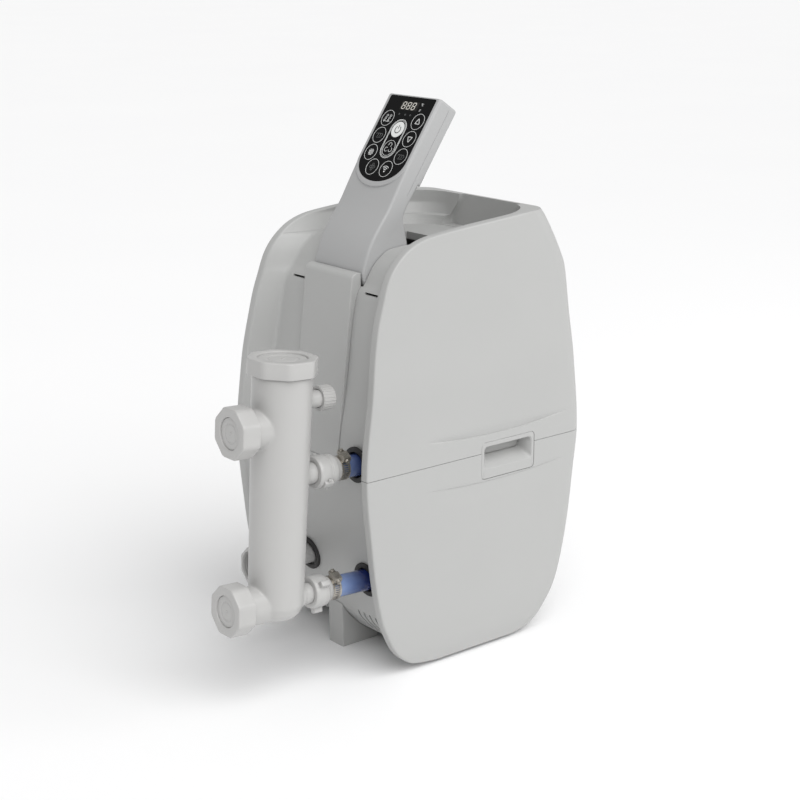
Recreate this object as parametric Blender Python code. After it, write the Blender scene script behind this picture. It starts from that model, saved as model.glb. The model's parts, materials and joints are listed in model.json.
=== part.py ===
"""Spa control unit with an external chlorinator cell pipe.

Metres, +Z up. -Y is the front, where the hoses and the cell pipe are, and +X is the side of the cell
pipe. The unit is drawn with y = 0 inside its housing, and is moved at the end so that the origin is on
the floor, in the plane of symmetry and under the middle of the whole depth.
"""
import math

import bmesh
import bpy
from mathutils import Matrix, Vector

# ---- driving dimensions -------------------------------------------------------------------------
GAP = 0.0003                     # clearance between pieces that touch
WALL = 0.003                     # moulded wall of the housing

HALF_WIDTH = 0.130               # side panel to the plane of symmetry, at the split
SPLIT_Z = 0.2525                 # parting line between the upper and the lower housing
CORNER_R = 0.030                 # rear vertical corners
BAND = 0.0115                    # flat front edge of each side panel
FLARE = 0.0165                   # sideways run of the slope from the band into the recess

# (height, y) along the front edge of the side panels
FRONT_EDGE = [(0.005, -0.058), (0.007, -0.074), (0.010, -0.087), (0.017, -0.099), (0.030, -0.1135),
              (0.053, -0.1275), (0.075, -0.137), (0.116, -0.146), (0.165, -0.1525), (0.2525, -0.160),
              (0.340, -0.1515), (0.424, -0.1375), (0.451, -0.129), (0.470, -0.1225), (0.481, -0.1165),
              (0.491, -0.1085), (0.500, -0.0985), (0.507, -0.088), (0.5155, -0.065), (0.5305, 0.100)]
# (height, y) of the rear wall
REAR_WALL = [(0.005, 0.100), (0.007, 0.110), (0.012, 0.122), (0.019, 0.130), (0.031, 0.139),
             (0.049, 0.150), (0.070, 0.158), (0.101, 0.166), (0.145, 0.174), (0.204, 0.181),
             (0.2525, 0.186), (0.356, 0.176), (0.411, 0.171), (0.459, 0.1655), (0.481, 0.157),
             (0.504, 0.1455), (0.5235, 0.134), (0.5305, 0.1285)]
# (height, inset from HALF_WIDTH) of the side panels
SIDE_INSET = [(0.005, 0.008), (0.030, 0.0035), (0.070, 0.0005), (0.150, 0.0), (0.340, 0.0),
              (0.406, 0.0054), (0.459, 0.0086), (0.5155, 0.0125), (0.5305, 0.0135)]
# (height, y) of the recessed front between the side panels, up to the shoulders beside the stalk
RECESS_WALL = [(0.005, -0.047), (0.0075, -0.053), (0.0125, -0.0625), (0.020, -0.0745),
               (0.028, -0.0845), (0.038, -0.0935), (0.0475, -0.102), (0.0575, -0.108),
               (0.113, -0.121), (0.180, -0.130), (0.2525, -0.135), (0.350, -0.1215),
               (0.440, -0.1085), (0.451, -0.1045), (0.458, -0.0985), (0.4675, -0.0925),
               (0.478, -0.0852), (0.488, -0.0735), (0.4925, -0.0660), (0.4955, -0.0525),
               (0.4962, -0.0400)]
LOWER_LEVELS = [0.005, 0.007, 0.010, 0.014, 0.020, 0.028, 0.038, 0.053, 0.070, 0.101, 0.150, 0.204]
UPPER_LEVELS = [0.300, 0.340, 0.385, 0.424, 0.442, 0.451, 0.459, 0.470, 0.481, 0.491, 0.500,
                0.507, 0.512, 0.5155, 0.5195, 0.524, 0.5275, 0.5305]

SHOULDER_Z = 0.4962              # top of the shoulders on both sides of the stalk
WELL_Z = 0.490                   # floor of the well behind the stalk
WELL_CORNER_R = 0.050
RIM_Z = 0.5155                   # height at which the well's sides reach full width
RIM_WALL = 0.012                 # rear wall of the well at the rim
REAR_BAY_HALF = 0.045            # deeper bay in the middle of the rear wall
LEAD = 0.05                      # share by which a cut's slope starts ahead of the face it cuts
SHOULDER_SLOT = (0.0572, 0.0810, 0.0026)     # inner x, outer x, height
SHOULDER_SLOT_Z = 0.4485

COLUMN_HALF = 0.0452             # raised column between the recess halves
COLUMN_TOP_Z = 0.471
COLUMN_FOOT_Z = 0.200            # here the column has faded into the recess
# (height, y) of the column's front, from its foot to its top
COLUMN_FRONT = [(0.200, -0.1306), (0.2525, -0.1368), (0.300, -0.1318), (0.350, -0.1265), (0.440, -0.1168),
                (0.471, -0.1135)]
COLUMN_TOP_R = 0.007             # rounding of its upper front edge
COLUMN_BACK_Y = -0.1010          # column's back above the stalk slot

STALK_HALF = 0.047
STALK_BASE_FRONT = -0.0995       # the stalk's front face where it leaves the column
STALK_PIVOT = (-0.066, 0.4700)   # y, z
STALK_LEAN = 34.0                # degrees back from upright, at the head
STALK_TIP = (0.0164, 0.6613)     # y, z of the head's front upper edge
STALK_HEAD_DEPTH = 0.031
STALK_WALL = 0.0025
SLOT_HALF = 0.0485               # slot that the stalk swings in
SLOT_REAR = 0.045

OVERLAY_HALF = 0.0415            # glossy control film
OVERLAY_LENGTH = 0.1115
OVERLAY_TOP = 0.0030             # from the head's upper edge to the film
OVERLAY_T = 0.0012
WINDOW_HALF = 0.016
WINDOW_DOWN = (0.0085, 0.0210)   # upper and lower edge, from the head's upper edge

GRIP_Y = (0.012, 0.097)
GRIP_Z = (0.220, 0.265)
GRIP_DEPTH = 0.024
GRIP_OPENING = (0.0035, 0.0035, 0.0110, 0.0045)   # rim at front, rear, below and above

HOSE_X = 0.080
HOSE_R = 0.013
HOSE_WALL = 0.0027
HOSE_INSIDE_Y = -0.108           # the hoses run straight as far as this
UPPER_HOSE_Z = 0.2572
LOWER_HOSE_Z = 0.1129
RETURN_X = -0.034
RETURN_Z = 0.1135
RETURN_PIPE_R = HOSE_R - 0.0002   # it goes through a grommet like the hoses'
GROMMET_NECK_R = HOSE_R + 0.0042
GROMMET_FLANGE_R = GROMMET_NECK_R + 0.0040
GROMMET_FLANGE_T = 0.0034
GROMMET_BORE = 0.0018            # slack round the hose

FOOT_HALF = 0.014
FOOT_FRONT = -0.1075
PAD_R = 0.010

CELL_ORIGIN = (0.080, -0.2527, 0.1205)       # cell pipe's axis at the lower port
CELL_LEAN = -3.3                             # degrees about X
CELL_R_LOW = 0.0315
CELL_R_TOP = 0.0340
CELL_WALL = 0.004
CELL_NECK_Z = 0.2620                         # where the pipe enters its cap nut
CELL_END_Z = 0.2720
CELL_TOP_Z = 0.2812                          # top face of the cap nut
CELL_NUT_FLATS = 0.0750
UPPER_PORT_Z = 0.203
UPPER_NIPPLE_Z = 0.143
BLEED_Z = 0.2285
PORT_FACE = 0.0685                           # from the pipe's axis to the port nut's outer face
PORT_NUT_LENGTH = 0.023
PORT_NUT_FLATS = 0.0560
PORT_NECK_R = 0.0225
PORT_THREAD_R = 0.0205
NIPPLE_R = 0.0123
COLLAR_START = 0.0450
UPPER_COLLAR_LENGTH = 0.0320
LOWER_COLLAR_LENGTH = 0.0260
COLLAR_R = HOSE_R + 0.0060
CLAMP_WIDTH = 0.0120

ROUND = 32                                   # sides of the large round pieces
SMALL_ROUND = 24


# ---- helpers ------------------------------------------------------------------------------------
def clear_scene():
    for item in list(bpy.data.objects):
        bpy.data.objects.remove(item, do_unlink=True)


def make_material(name, color, roughness, metallic=0.0, alpha=1.0):
    material = bpy.data.materials.new(name)
    material.use_nodes = True
    shader = material.node_tree.nodes["Principled BSDF"]
    shader.inputs["Base Color"].default_value = (*color, 1.0)
    shader.inputs["Roughness"].default_value = roughness
    shader.inputs["Metallic"].default_value = metallic
    shader.inputs["Alpha"].default_value = alpha
    return material


def read_curve(points, at):
    """Value at a height, along straight stretches between the outline's points."""
    if at <= points[0][0]:
        return points[0][1]
    for (low, a), (high, b) in zip(points, points[1:]):
        if at <= high:
            return a + (b - a) * (at - low) / (high - low)
    return points[-1][1]


def finish_mesh(bm, name, material, place=None, cutter=False):
    bmesh.ops.recalc_face_normals(bm, faces=bm.faces)
    mesh = bpy.data.meshes.new(name)
    bm.to_mesh(mesh)
    bm.free()
    mesh.shade_smooth()
    mesh.set_sharp_from_angle(angle=math.radians(30))
    item = bpy.data.objects.new(name, mesh)
    bpy.context.collection.objects.link(item)
    if place is not None:
        item.matrix_world = place
    if cutter:
        item.hide_render = True
        item.display_type = 'WIRE'
    else:
        mesh.materials.append(material)
    return item


def loft(name, rings, material=None, place=None, cutter=False):
    """Closed solid through rings of points that all have the same count."""
    bm = bmesh.new()
    rows = [[bm.verts.new(point) for point in ring] for ring in rings]
    count = len(rows[0])
    for lower, upper in zip(rows, rows[1:]):
        for i in range(count):
            j = (i + 1) % count
            bm.faces.new((lower[i], lower[j], upper[j], upper[i]))
    bm.faces.new(list(reversed(rows[0])))
    bm.faces.new(rows[-1])
    bmesh.ops.connect_verts_nonplanar(bm, angle_limit=math.radians(0.02), faces=bm.faces)
    return finish_mesh(bm, name, material, place, cutter)


def prism_x(name, outline, low, high, material=None, place=None, cutter=False):
    """Outline of (y, z) points, extruded from x = low to x = high."""
    rings = [[(x, y, z) for y, z in outline] for x in (low, high)]
    return loft(name, rings, material, place, cutter)


def prism_z(name, outline, low, high, material=None, place=None, cutter=False):
    """Outline of (x, y) points, extruded from z = low to z = high."""
    rings = [[(x, y, z) for x, y in outline] for z in (low, high)]
    return loft(name, rings, material, place, cutter)


def box(name, low, high, material=None, place=None, cutter=False):
    outline = [(low[0], low[1]), (high[0], low[1]), (high[0], high[1]), (low[0], high[1])]
    return prism_z(name, outline, low[2], high[2], material, place, cutter)


def circle(radius, sides, turn=0.0):
    return [(radius * math.cos(turn + 2 * math.pi * i / sides),
             radius * math.sin(turn + 2 * math.pi * i / sides)) for i in range(sides)]


def turned(name, profile, sides=ROUND, material=None, place=None, cutter=False, ring=False):
    """Solid turned about Z from (radius, height) points, bottom to top; ring closes it round a bore."""
    bm = bmesh.new()
    rows = [[bm.verts.new((x, y, height)) for x, y in circle(radius, sides)]
            for radius, height in profile]
    pairs = list(zip(rows, rows[1:]))
    if ring:
        pairs.append((rows[-1], rows[0]))
    for lower, upper in pairs:
        for i in range(sides):
            j = (i + 1) % sides
            bm.faces.new((lower[i], lower[j], upper[j], upper[i]))
    if not ring:
        bm.faces.new(list(reversed(rows[0])))
        bm.faces.new(rows[-1])
    return finish_mesh(bm, name, material, place, cutter)


def tube_profile(outer, inner, low, high):
    return [(outer, low), (outer, high), (inner, high), (inner, low)]


def cut(item, *cutters):
    for cutter in cutters:
        modifier = item.modifiers.new("cut_" + cutter.name, 'BOOLEAN')
        modifier.operation = 'DIFFERENCE'
        modifier.object = cutter


def join(item, *others):
    for other in others:
        modifier = item.modifiers.new("join_" + other.name, 'BOOLEAN')
        modifier.operation = 'UNION'
        modifier.object = other


def along(direction, origin):
    """Placement whose Z runs along a direction, with X kept level where it can be."""
    z = Vector(direction).normalized()
    side = Vector((1, 0, 0)) if abs(z.x) < 0.9 else Vector((0, 1, 0))
    y = z.cross(side).normalized()
    x = y.cross(z)
    turn = Matrix((x, y, z)).transposed().to_4x4()
    return Matrix.Translation(Vector(origin)) @ turn


# ---- sections of the housing --------------------------------------------------------------------
def half_width(z):
    return HALF_WIDTH - read_curve(SIDE_INSET, z)


def corner_arc(radius, x, y, side, steps=6):
    """Rear corner from the side wall round to the rear wall (side is +1 or -1)."""
    arc = []
    for i in range(steps + 1):
        angle = math.pi / 2 * i / steps
        arc.append((side * (x - radius + radius * math.cos(angle)), y - radius + radius * math.sin(angle)))
    return arc if side > 0 else list(reversed(arc))


def outer_ring(z):
    x, front, rear = half_width(z), read_curve(FRONT_EDGE, z), read_curve(REAR_WALL, z)
    ring = [(x, front)] + corner_arc(CORNER_R * 0.93, x, rear, 1) + corner_arc(CORNER_R * 0.93, x, rear, -1)
    ring.append((-x, front))
    return [(px, py, z) for px, py in ring]


def recess_ring(z):
    x, front, floor = half_width(z) - BAND, read_curve(FRONT_EDGE, z), read_curve(RECESS_WALL, z)
    ahead = front - 0.06
    lead_x, lead_y = x + FLARE * LEAD, front - (floor - front) * LEAD
    return [(-lead_x, ahead, z), (lead_x, ahead, z), (lead_x, lead_y, z), (x - FLARE, floor, z),
            (FLARE - x, floor, z), (-lead_x, lead_y, z)]


def well_half(z):
    """Half width of the well: from the recess's width at its floor to the rim's inner edge."""
    share = min(1.0, (z - WELL_Z) / (RIM_Z - WELL_Z))
    return half_width(z) - BAND - FLARE * (1 - share)


def well_ring(z, front, inset=0.0):
    x, rear = well_half(z) - inset, read_curve(REAR_WALL, z) - RIM_WALL - 0.006 * (z < RIM_Z) - inset
    start = min(read_curve(FRONT_EDGE, z), -0.060)
    bend = min(start + 0.062, 0.0)
    outer = half_width(z) - BAND - inset
    lead_x, lead_y = outer + (outer - x) * LEAD, start - (bend - start) * LEAD
    if front < start:
        ring = [(lead_x, front), (lead_x, lead_y), (x, bend)]
    else:
        ring = [(x, front), (x, front + 0.01)]
    ring += corner_arc(WELL_CORNER_R, x, rear, 1) + corner_arc(WELL_CORNER_R, x, rear, -1)
    ring += [(-px, py) for px, py in reversed(ring[:3 if front < start else 2])]
    return [(px, py, z) for px, py in ring]


def inner_ring(z):
    """The housing's outline with its recess, moved inwards by the wall."""
    x, front, floor = half_width(z), read_curve(FRONT_EDGE, z), read_curve(RECESS_WALL, z)
    depth = floor - front
    length = math.hypot(FLARE, depth)
    normal = (depth / length, FLARE / length)

    def flare_x(y):
        return x - BAND + WALL * normal[0] - (y - front - WALL * normal[1]) * FLARE / depth

    rear = read_curve(REAR_WALL, z) - WALL
    ring = [(flare_x(floor + WALL), floor + WALL), (flare_x(front + WALL), front + WALL),
            (x - WALL, front + WALL)]
    ring += corner_arc(CORNER_R - WALL, x - WALL, rear, 1) + corner_arc(CORNER_R - WALL, x - WALL, rear, -1)
    ring += [(-px, py) for px, py in reversed(ring[:3])]
    return [(px, py, z) for px, py in ring]


def recess_normal(z):
    """Outward normal of the recessed front at a height."""
    step = 0.012
    slope = (read_curve(RECESS_WALL, z + step) - read_curve(RECESS_WALL, z - step)) / (2 * step)
    return Vector((0.0, -1.0, slope)).normalized()


def hole_place(x, z, upright):
    normal = Vector((0.0, -1.0, 0.0)) if upright else recess_normal(z)
    return along(normal, (x, read_curve(RECESS_WALL, SPLIT_Z if upright else z) - GAP * upright, z))


# ---- housing ------------------------------------------------------------------------------------
def grip_box(side, grow, depth, name, material=None, cutter=False):
    low, high = sorted((side * (HALF_WIDTH - depth), side * (HALF_WIDTH + (0.02 if cutter else 0.0))))
    return box(name, (low, GRIP_Y[0] - grow, GRIP_Z[0] - grow), (high, GRIP_Y[1] + grow, GRIP_Z[1] + grow),
               material, None, cutter)


def build_housing(grey):
    low_rings = [outer_ring(z) for z in LOWER_LEVELS + [SPLIT_Z - GAP / 2]]
    high_rings = [outer_ring(z) for z in [SPLIT_Z + GAP / 2] + UPPER_LEVELS]
    lower = loft("lower_housing", low_rings, grey)
    upper = loft("upper_housing", high_rings, grey)

    recess_levels = [0.0] + LOWER_LEVELS + [SPLIT_Z] + [z for z in UPPER_LEVELS if z < 0.488]
    recess_levels += [0.488, 0.4925, 0.4955, SHOULDER_Z + 0.0005]
    recess = loft("recess_cutter", [recess_ring(z) for z in recess_levels], cutter=True)

    well_levels = [SHOULDER_Z, 0.503, 0.509, RIM_Z, 0.5235, 0.5305, 0.560]
    well = loft("well_cutter", [well_ring(z, -0.25, -0.0005) for z in well_levels], cutter=True)
    floor = loft("well_floor_cutter", [well_ring(z, -0.022, 0.0005) for z in (WELL_Z, SHOULDER_Z + 0.001)],
                 cutter=True)
    bay = box("rear_bay_cutter", (-REAR_BAY_HALF, 0.05, WELL_Z + 0.002),
              (REAR_BAY_HALF, read_curve(REAR_WALL, 0.5305) - 0.005, 0.56), cutter=True)

    hollow_low = loft("lower_hollow_cutter", [inner_ring(z) for z in
                      [0.0095, 0.014, 0.020, 0.028, 0.038, 0.053, 0.070, 0.101, 0.150, 0.204, SPLIT_Z, 0.26]],
                      cutter=True)
    hollow_high = loft("upper_hollow_cutter", [inner_ring(z) for z in
                       [0.245, SPLIT_Z, 0.300, 0.340, 0.385, 0.424, 0.442, 0.451, 0.459, 0.470, 0.481]],
                       cutter=True)
    slot = box("stalk_slot_cutter", (-SLOT_HALF, COLUMN_BACK_Y + GAP, 0.425), (SLOT_HALF, SLOT_REAR, 0.56),
               cutter=True)
    cut(lower, recess, hollow_low)
    cut(upper, recess, well, floor, bay, hollow_high, slot)

    for side, tag in ((1, "left"), (-1, "right")):
        opening = grip_box(side, GAP, GRIP_DEPTH + 0.002, "grip_opening_" + tag, cutter=True)
        cut(lower, opening)
        cut(upper, opening)
        inner_x, outer_x, height = SHOULDER_SLOT
        xs = sorted((side * inner_x, side * outer_x))
        slit = box("shoulder_slit_" + tag, (xs[0], -0.125, SHOULDER_SLOT_Z),
                   (xs[1], -0.088, SHOULDER_SLOT_Z + height), cutter=True)
        cut(upper, slit)
        build_grip(side, tag, grey)

    for name, x, z, upright in HOLES:
        hole = turned(name + "_hole", [(GROMMET_NECK_R + GAP, -0.020), (GROMMET_NECK_R + GAP, 0.020)],
                      SMALL_ROUND, place=hole_place(x, z, upright), cutter=True)
        cut(lower, hole)
        if upright:
            cut(upper, hole)

    for side in (1, -1):
        for i in range(4):
            x = side * (0.046 + 0.011 * i)
            tag = "vent_%d_%d" % (side, i)
            vent = box(tag, (x - 0.0015, -0.1125, 0.030), (x + 0.0015, -0.078, 0.060), cutter=True)
            cut(lower, vent)
    gland_hole = turned("gland_hole", [(0.0082, -0.02), (0.0082, 0.02)], SMALL_ROUND,
                        place=along((0, 1, 0), (-0.070, read_curve(REAR_WALL, 0.070), 0.070)), cutter=True)
    cut(lower, gland_hole)
    return lower, upper


HOLES = [("upper_hose", HOSE_X, UPPER_HOSE_Z, True), ("lower_hose", HOSE_X, LOWER_HOSE_Z, False),
         ("return", RETURN_X, RETURN_Z, False)]


def build_grip(side, tag, grey):
    """Cup with a sloping inner face that the hand lifts the unit by."""
    cup = grip_box(side, 0.0, GRIP_DEPTH, "side_grip_" + tag, grey)
    front, rear, below, above = GRIP_OPENING
    outer, bottom = side * (HALF_WIDTH + 0.01), side * (HALF_WIDTH - GRIP_DEPTH + WALL)
    low_y, high_y = GRIP_Y[0] + front, GRIP_Y[1] - rear
    low_z, high_z = GRIP_Z[0] + below, GRIP_Z[1] - above
    rings = [[(outer, low_y, low_z), (outer, high_y, low_z), (outer, high_y, high_z), (outer, low_y, high_z)],
             [(bottom, low_y + 0.004, low_z + 0.009), (bottom, high_y - 0.004, low_z + 0.009),
              (bottom, high_y - 0.004, high_z - 0.001), (bottom, low_y + 0.004, high_z - 0.001)]]
    cut(cup, loft("grip_pocket_" + tag, rings, cutter=True))


def column_front(z):
    return read_curve(COLUMN_FRONT, z)


def build_column(lower, grey):
    """Raised cover in front of the stalk, with the lower housing carrying its faded foot."""
    front_low = SPLIT_Z + GAP / 2
    back = [(read_curve(RECESS_WALL, z) - GAP, z) for z in (front_low, 0.350, 0.440, 0.451, 0.4555)]
    back.append((COLUMN_BACK_Y - GAP, 0.4580))
    back.append((COLUMN_BACK_Y - GAP, COLUMN_TOP_Z))
    arc = []
    for i in range(4):
        angle = math.pi / 2 * i / 3
        y = column_front(COLUMN_TOP_Z) + COLUMN_TOP_R * (1 - math.sin(angle))
        arc.append((y, COLUMN_TOP_Z - COLUMN_TOP_R * (1 - math.cos(angle))))
    outline = back + arc + [(column_front(z), z) for z in (0.440, 0.350, 0.300, front_low)]
    prism_x("front_column", outline, -COLUMN_HALF, COLUMN_HALF, grey)

    top = SPLIT_Z - GAP / 2
    foot = [(column_front(COLUMN_FOOT_Z), COLUMN_FOOT_Z), (column_front(top), top),
            (read_curve(RECESS_WALL, top) + 0.002, top)]
    join(lower, prism_x("column_foot", foot, -COLUMN_HALF, COLUMN_HALF, cutter=True))


def build_feet(grey, rubber):
    """Front foot under the column, and four rubber pads under the floor."""
    levels = (0.0075, 0.0125, 0.020, 0.028, 0.038, 0.0475, 0.0575)
    under = [(read_curve(RECESS_WALL, z) - GAP, z - GAP) for z in levels]
    outline = under + [(FOOT_FRONT, 0.0), (under[0][0], 0.0)]
    prism_x("front_foot", outline, -FOOT_HALF, FOOT_HALF, grey)
    spots = {"front_left": (0.085, -0.030), "front_right": (-0.085, -0.030),
             "rear_left": (0.085, 0.075), "rear_right": (-0.085, 0.075)}
    for tag, (x, y) in spots.items():
        turned("rubber_foot_" + tag, [(PAD_R, 0.0), (PAD_R, LOWER_LEVELS[0] - GAP)], SMALL_ROUND, rubber,
               Matrix.Translation((x, y, 0.0)))


# ---- control stalk ------------------------------------------------------------------------------
def stalk_axes():
    lean = math.radians(STALK_LEAN)
    up = Vector((0.0, math.sin(lean), math.cos(lean)))
    back = Vector((0.0, math.cos(lean), -math.sin(lean)))
    return up, back


def head_point(down, depth):
    """(y, z) on the head: down from its upper edge, and back from its front face."""
    up, back = stalk_axes()
    point = Vector((0.0, *STALK_TIP)) - up * down + back * depth
    return point.y, point.z


STALK_FRONT = [(-0.0345, 0.5870), (-0.0490, 0.5630), (-0.0620, 0.5410), (-0.0740, 0.5245),
               (-0.0850, 0.5090), (-0.0930, 0.4935), (-0.0980, 0.4790), (STALK_BASE_FRONT, STALK_PIVOT[1])]
STALK_REAR = [(-0.0330, 0.4985), (-0.0367, 0.5160), (-0.0367, 0.5330), (-0.0127, 0.5685)]


def stalk_outline(inset=0.0):
    """Side outline of the stalk, with its round foot about the pivot."""
    radius = STALK_PIVOT[0] - STALK_BASE_FRONT
    foot = []
    for i in range(1, 8):
        angle = math.pi + math.pi * i / 8
        foot.append((STALK_PIVOT[0] + radius * math.cos(angle), STALK_PIVOT[1] + radius * math.sin(angle)))
    foot.append((STALK_PIVOT[0] + radius, STALK_PIVOT[1]))
    points = [head_point(0.0, STALK_HEAD_DEPTH), head_point(0.0, 0.0)] + STALK_FRONT + foot + STALK_REAR
    return offset_outline(points, inset) if inset else points


def offset_outline(points, inset):
    """Outline moved to its own left by the inset, mitred."""
    moved = []
    count = len(points)
    for i, (y, z) in enumerate(points):
        before, after = Vector(points[i - 1]), Vector(points[(i + 1) % count])
        here = Vector((y, z))
        a, b = (here - before).normalized(), (after - here).normalized()
        na, nb = Vector((-a.y, a.x)), Vector((-b.y, b.x))
        mid = na + nb
        moved.append(tuple(here + mid * inset / (mid.length_squared / 2)))
    return moved


def overlay_outline(grow=0.0):
    """(x, distance down the head) of the control film: square top, round bottom."""
    half = OVERLAY_HALF + grow
    top, end = OVERLAY_TOP - grow, OVERLAY_TOP + OVERLAY_LENGTH + grow
    straight = end - 0.030
    points = [(-half, top + 0.004), (-half + 0.004, top), (half - 0.004, top), (half, top + 0.004)]
    for i in range(13):
        angle = math.pi * i / 12
        points.append((half * math.cos(angle), straight + (end - straight) * math.sin(angle) ** 0.9))
    return points


def on_head(name, outline, low, high, material=None, cutter=False):
    """Outline on the head's front face, from one depth to another (negative stands proud)."""
    rings = []
    for depth in (low, high):
        rings.append([(x, *head_point(down, depth)) for x, down in outline])
    return loft(name, rings, material, None, cutter)


def build_stalk(grey, black, smoke, green, steel, bracket_grey):
    shell = prism_x("stalk_shell", stalk_outline(), -STALK_HALF, STALK_HALF, grey)
    bevel = shell.modifiers.new("edge_round", 'BEVEL')
    bevel.width = 0.003
    bevel.segments = 2
    bevel.limit_method = 'ANGLE'
    bevel.angle_limit = math.radians(60)

    inner_half = STALK_HALF - STALK_WALL
    length = 0.106
    cavity = [(-inner_half, 0.004), (inner_half, 0.004), (inner_half, length), (-inner_half, length)]
    cut(shell, on_head("stalk_cavity", cavity, STALK_WALL + OVERLAY_T + 0.0015, STALK_HEAD_DEPTH + 0.01,
                       cutter=True))
    cut(shell, on_head("overlay_seat", overlay_outline(GAP), -0.01, OVERLAY_T, cutter=True))

    cover = [(-inner_half + GAP, 0.004 + GAP), (inner_half - GAP, 0.004 + GAP),
             (inner_half - GAP, length - GAP), (-inner_half + GAP, length - GAP)]
    on_head("stalk_back_cover", cover, STALK_HEAD_DEPTH - STALK_WALL, STALK_HEAD_DEPTH - 0.0006, grey)
    film = on_head("control_overlay", overlay_outline(), GAP / 2, OVERLAY_T - GAP, black)
    upper, lower = WINDOW_DOWN
    window = [(-WINDOW_HALF, upper), (WINDOW_HALF, upper), (WINDOW_HALF, lower), (-WINDOW_HALF, lower)]
    wide = [(x + (GAP if x > 0 else -GAP), down + (GAP if down == lower else -GAP)) for x, down in window]
    cut(film, on_head("window_cutter", wide, -0.01, 0.01, cutter=True))
    on_head("display_window", window, GAP / 2, OVERLAY_T - GAP, smoke)
    board = [(-0.038, 0.012), (0.038, 0.012), (0.038, 0.096), (-0.038, 0.096)]
    on_head("panel_board", board, 0.0075, 0.0091, green)

    pin_y, pin_z = STALK_PIVOT
    pin_r = 0.004
    for side, tag in ((1, "left"), (-1, "right")):
        place = along((side, 0, 0), (side * (STALK_HALF - 0.012), pin_y, pin_z))
        turned("pivot_pin_" + tag, [(pin_r, 0.0), (pin_r, 0.0215), (pin_r + 0.002, 0.0215),
                                    (pin_r + 0.002, 0.0235)], SMALL_ROUND, steel, place)
        bore = turned("pivot_bore_" + tag, [(pin_r + 0.00005, -0.0003), (pin_r + 0.00005, 0.03)],
                      SMALL_ROUND, place=place, cutter=True)
        cut(shell, bore)

    cheek_low, cheek_high = SLOT_HALF + 0.001, SLOT_HALF + 0.006
    outline = [(pin_y - 0.020, 0.424), (pin_y + 0.020, 0.424), (pin_y + 0.012, pin_z + 0.007),
               (pin_y - 0.012, pin_z + 0.007)]
    bracket = prism_x("stalk_bracket", outline, -cheek_high, cheek_high, bracket_grey)
    cut(bracket, box("bracket_gap", (-cheek_low, pin_y - 0.03, 0.428), (cheek_low, pin_y + 0.03, 0.52),
                     cutter=True))
    cut(bracket, turned("bracket_bore", [(pin_r + 0.0001, -0.08), (pin_r + 0.0001, 0.08)], SMALL_ROUND,
                        place=along((1, 0, 0), (0.0, pin_y, pin_z)), cutter=True))


# ---- cell pipe and its fittings -----------------------------------------------------------------
CELL = Matrix.Translation(Vector(CELL_ORIGIN)) @ Matrix.Rotation(math.radians(CELL_LEAN), 4, 'X')


def facing(z, front):
    """Placement on the cell pipe's axis at a height, Z pointing to the front (-Y) or the rear."""
    return CELL @ Matrix.Translation((0, 0, z)) @ Matrix.Rotation(math.radians(90 if front else -90), 4, 'X')


def octagon_nut(name, flats, low, high, material, place):
    corner = flats / 2 / math.cos(math.pi / 8)
    chamfer = 0.0016
    turn = math.pi / 8
    rings = []
    for radius, height in ((corner - chamfer * 0.3, low), (corner, low + chamfer * 0.4),
                           (corner, high - chamfer), (corner - chamfer, high)):
        rings.append([(x, y, height) for x, y in circle(radius, 8, turn)])
    return loft(name, rings, material, place)


def build_cap(tag, place, neck, end, thread_r, lip_r, flats, top, white, rubber):
    """Octagonal nut that holds a blanking disc and its seal on a threaded pipe end."""
    seal_t = 0.0020
    disc_low = end + seal_t + 2 * GAP
    flange_t = 0.0025
    disc_face = top - 0.0020
    nut = octagon_nut(tag + "_nut", flats, neck + GAP, top, white, place)
    lip_low = disc_low + flange_t + GAP
    profile = [(thread_r + 0.0008, neck - 0.01), (thread_r + 0.0008, lip_low), (lip_r, lip_low), (lip_r, top + 0.01)]
    cut(nut, turned(tag + "_nut_bore", profile, ROUND, place=place, cutter=True))
    turned(tag + "_disc", [(thread_r, disc_low), (thread_r, disc_low + flange_t),
                           (lip_r - GAP, disc_low + flange_t), (lip_r - GAP, disc_face)], ROUND, white, place)
    mid = thread_r - 0.0025
    turned(tag + "_seal", tube_profile(mid + 0.0012, mid - 0.0012, end + GAP, end + GAP + seal_t),
           SMALL_ROUND, rubber, place, ring=True)


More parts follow.
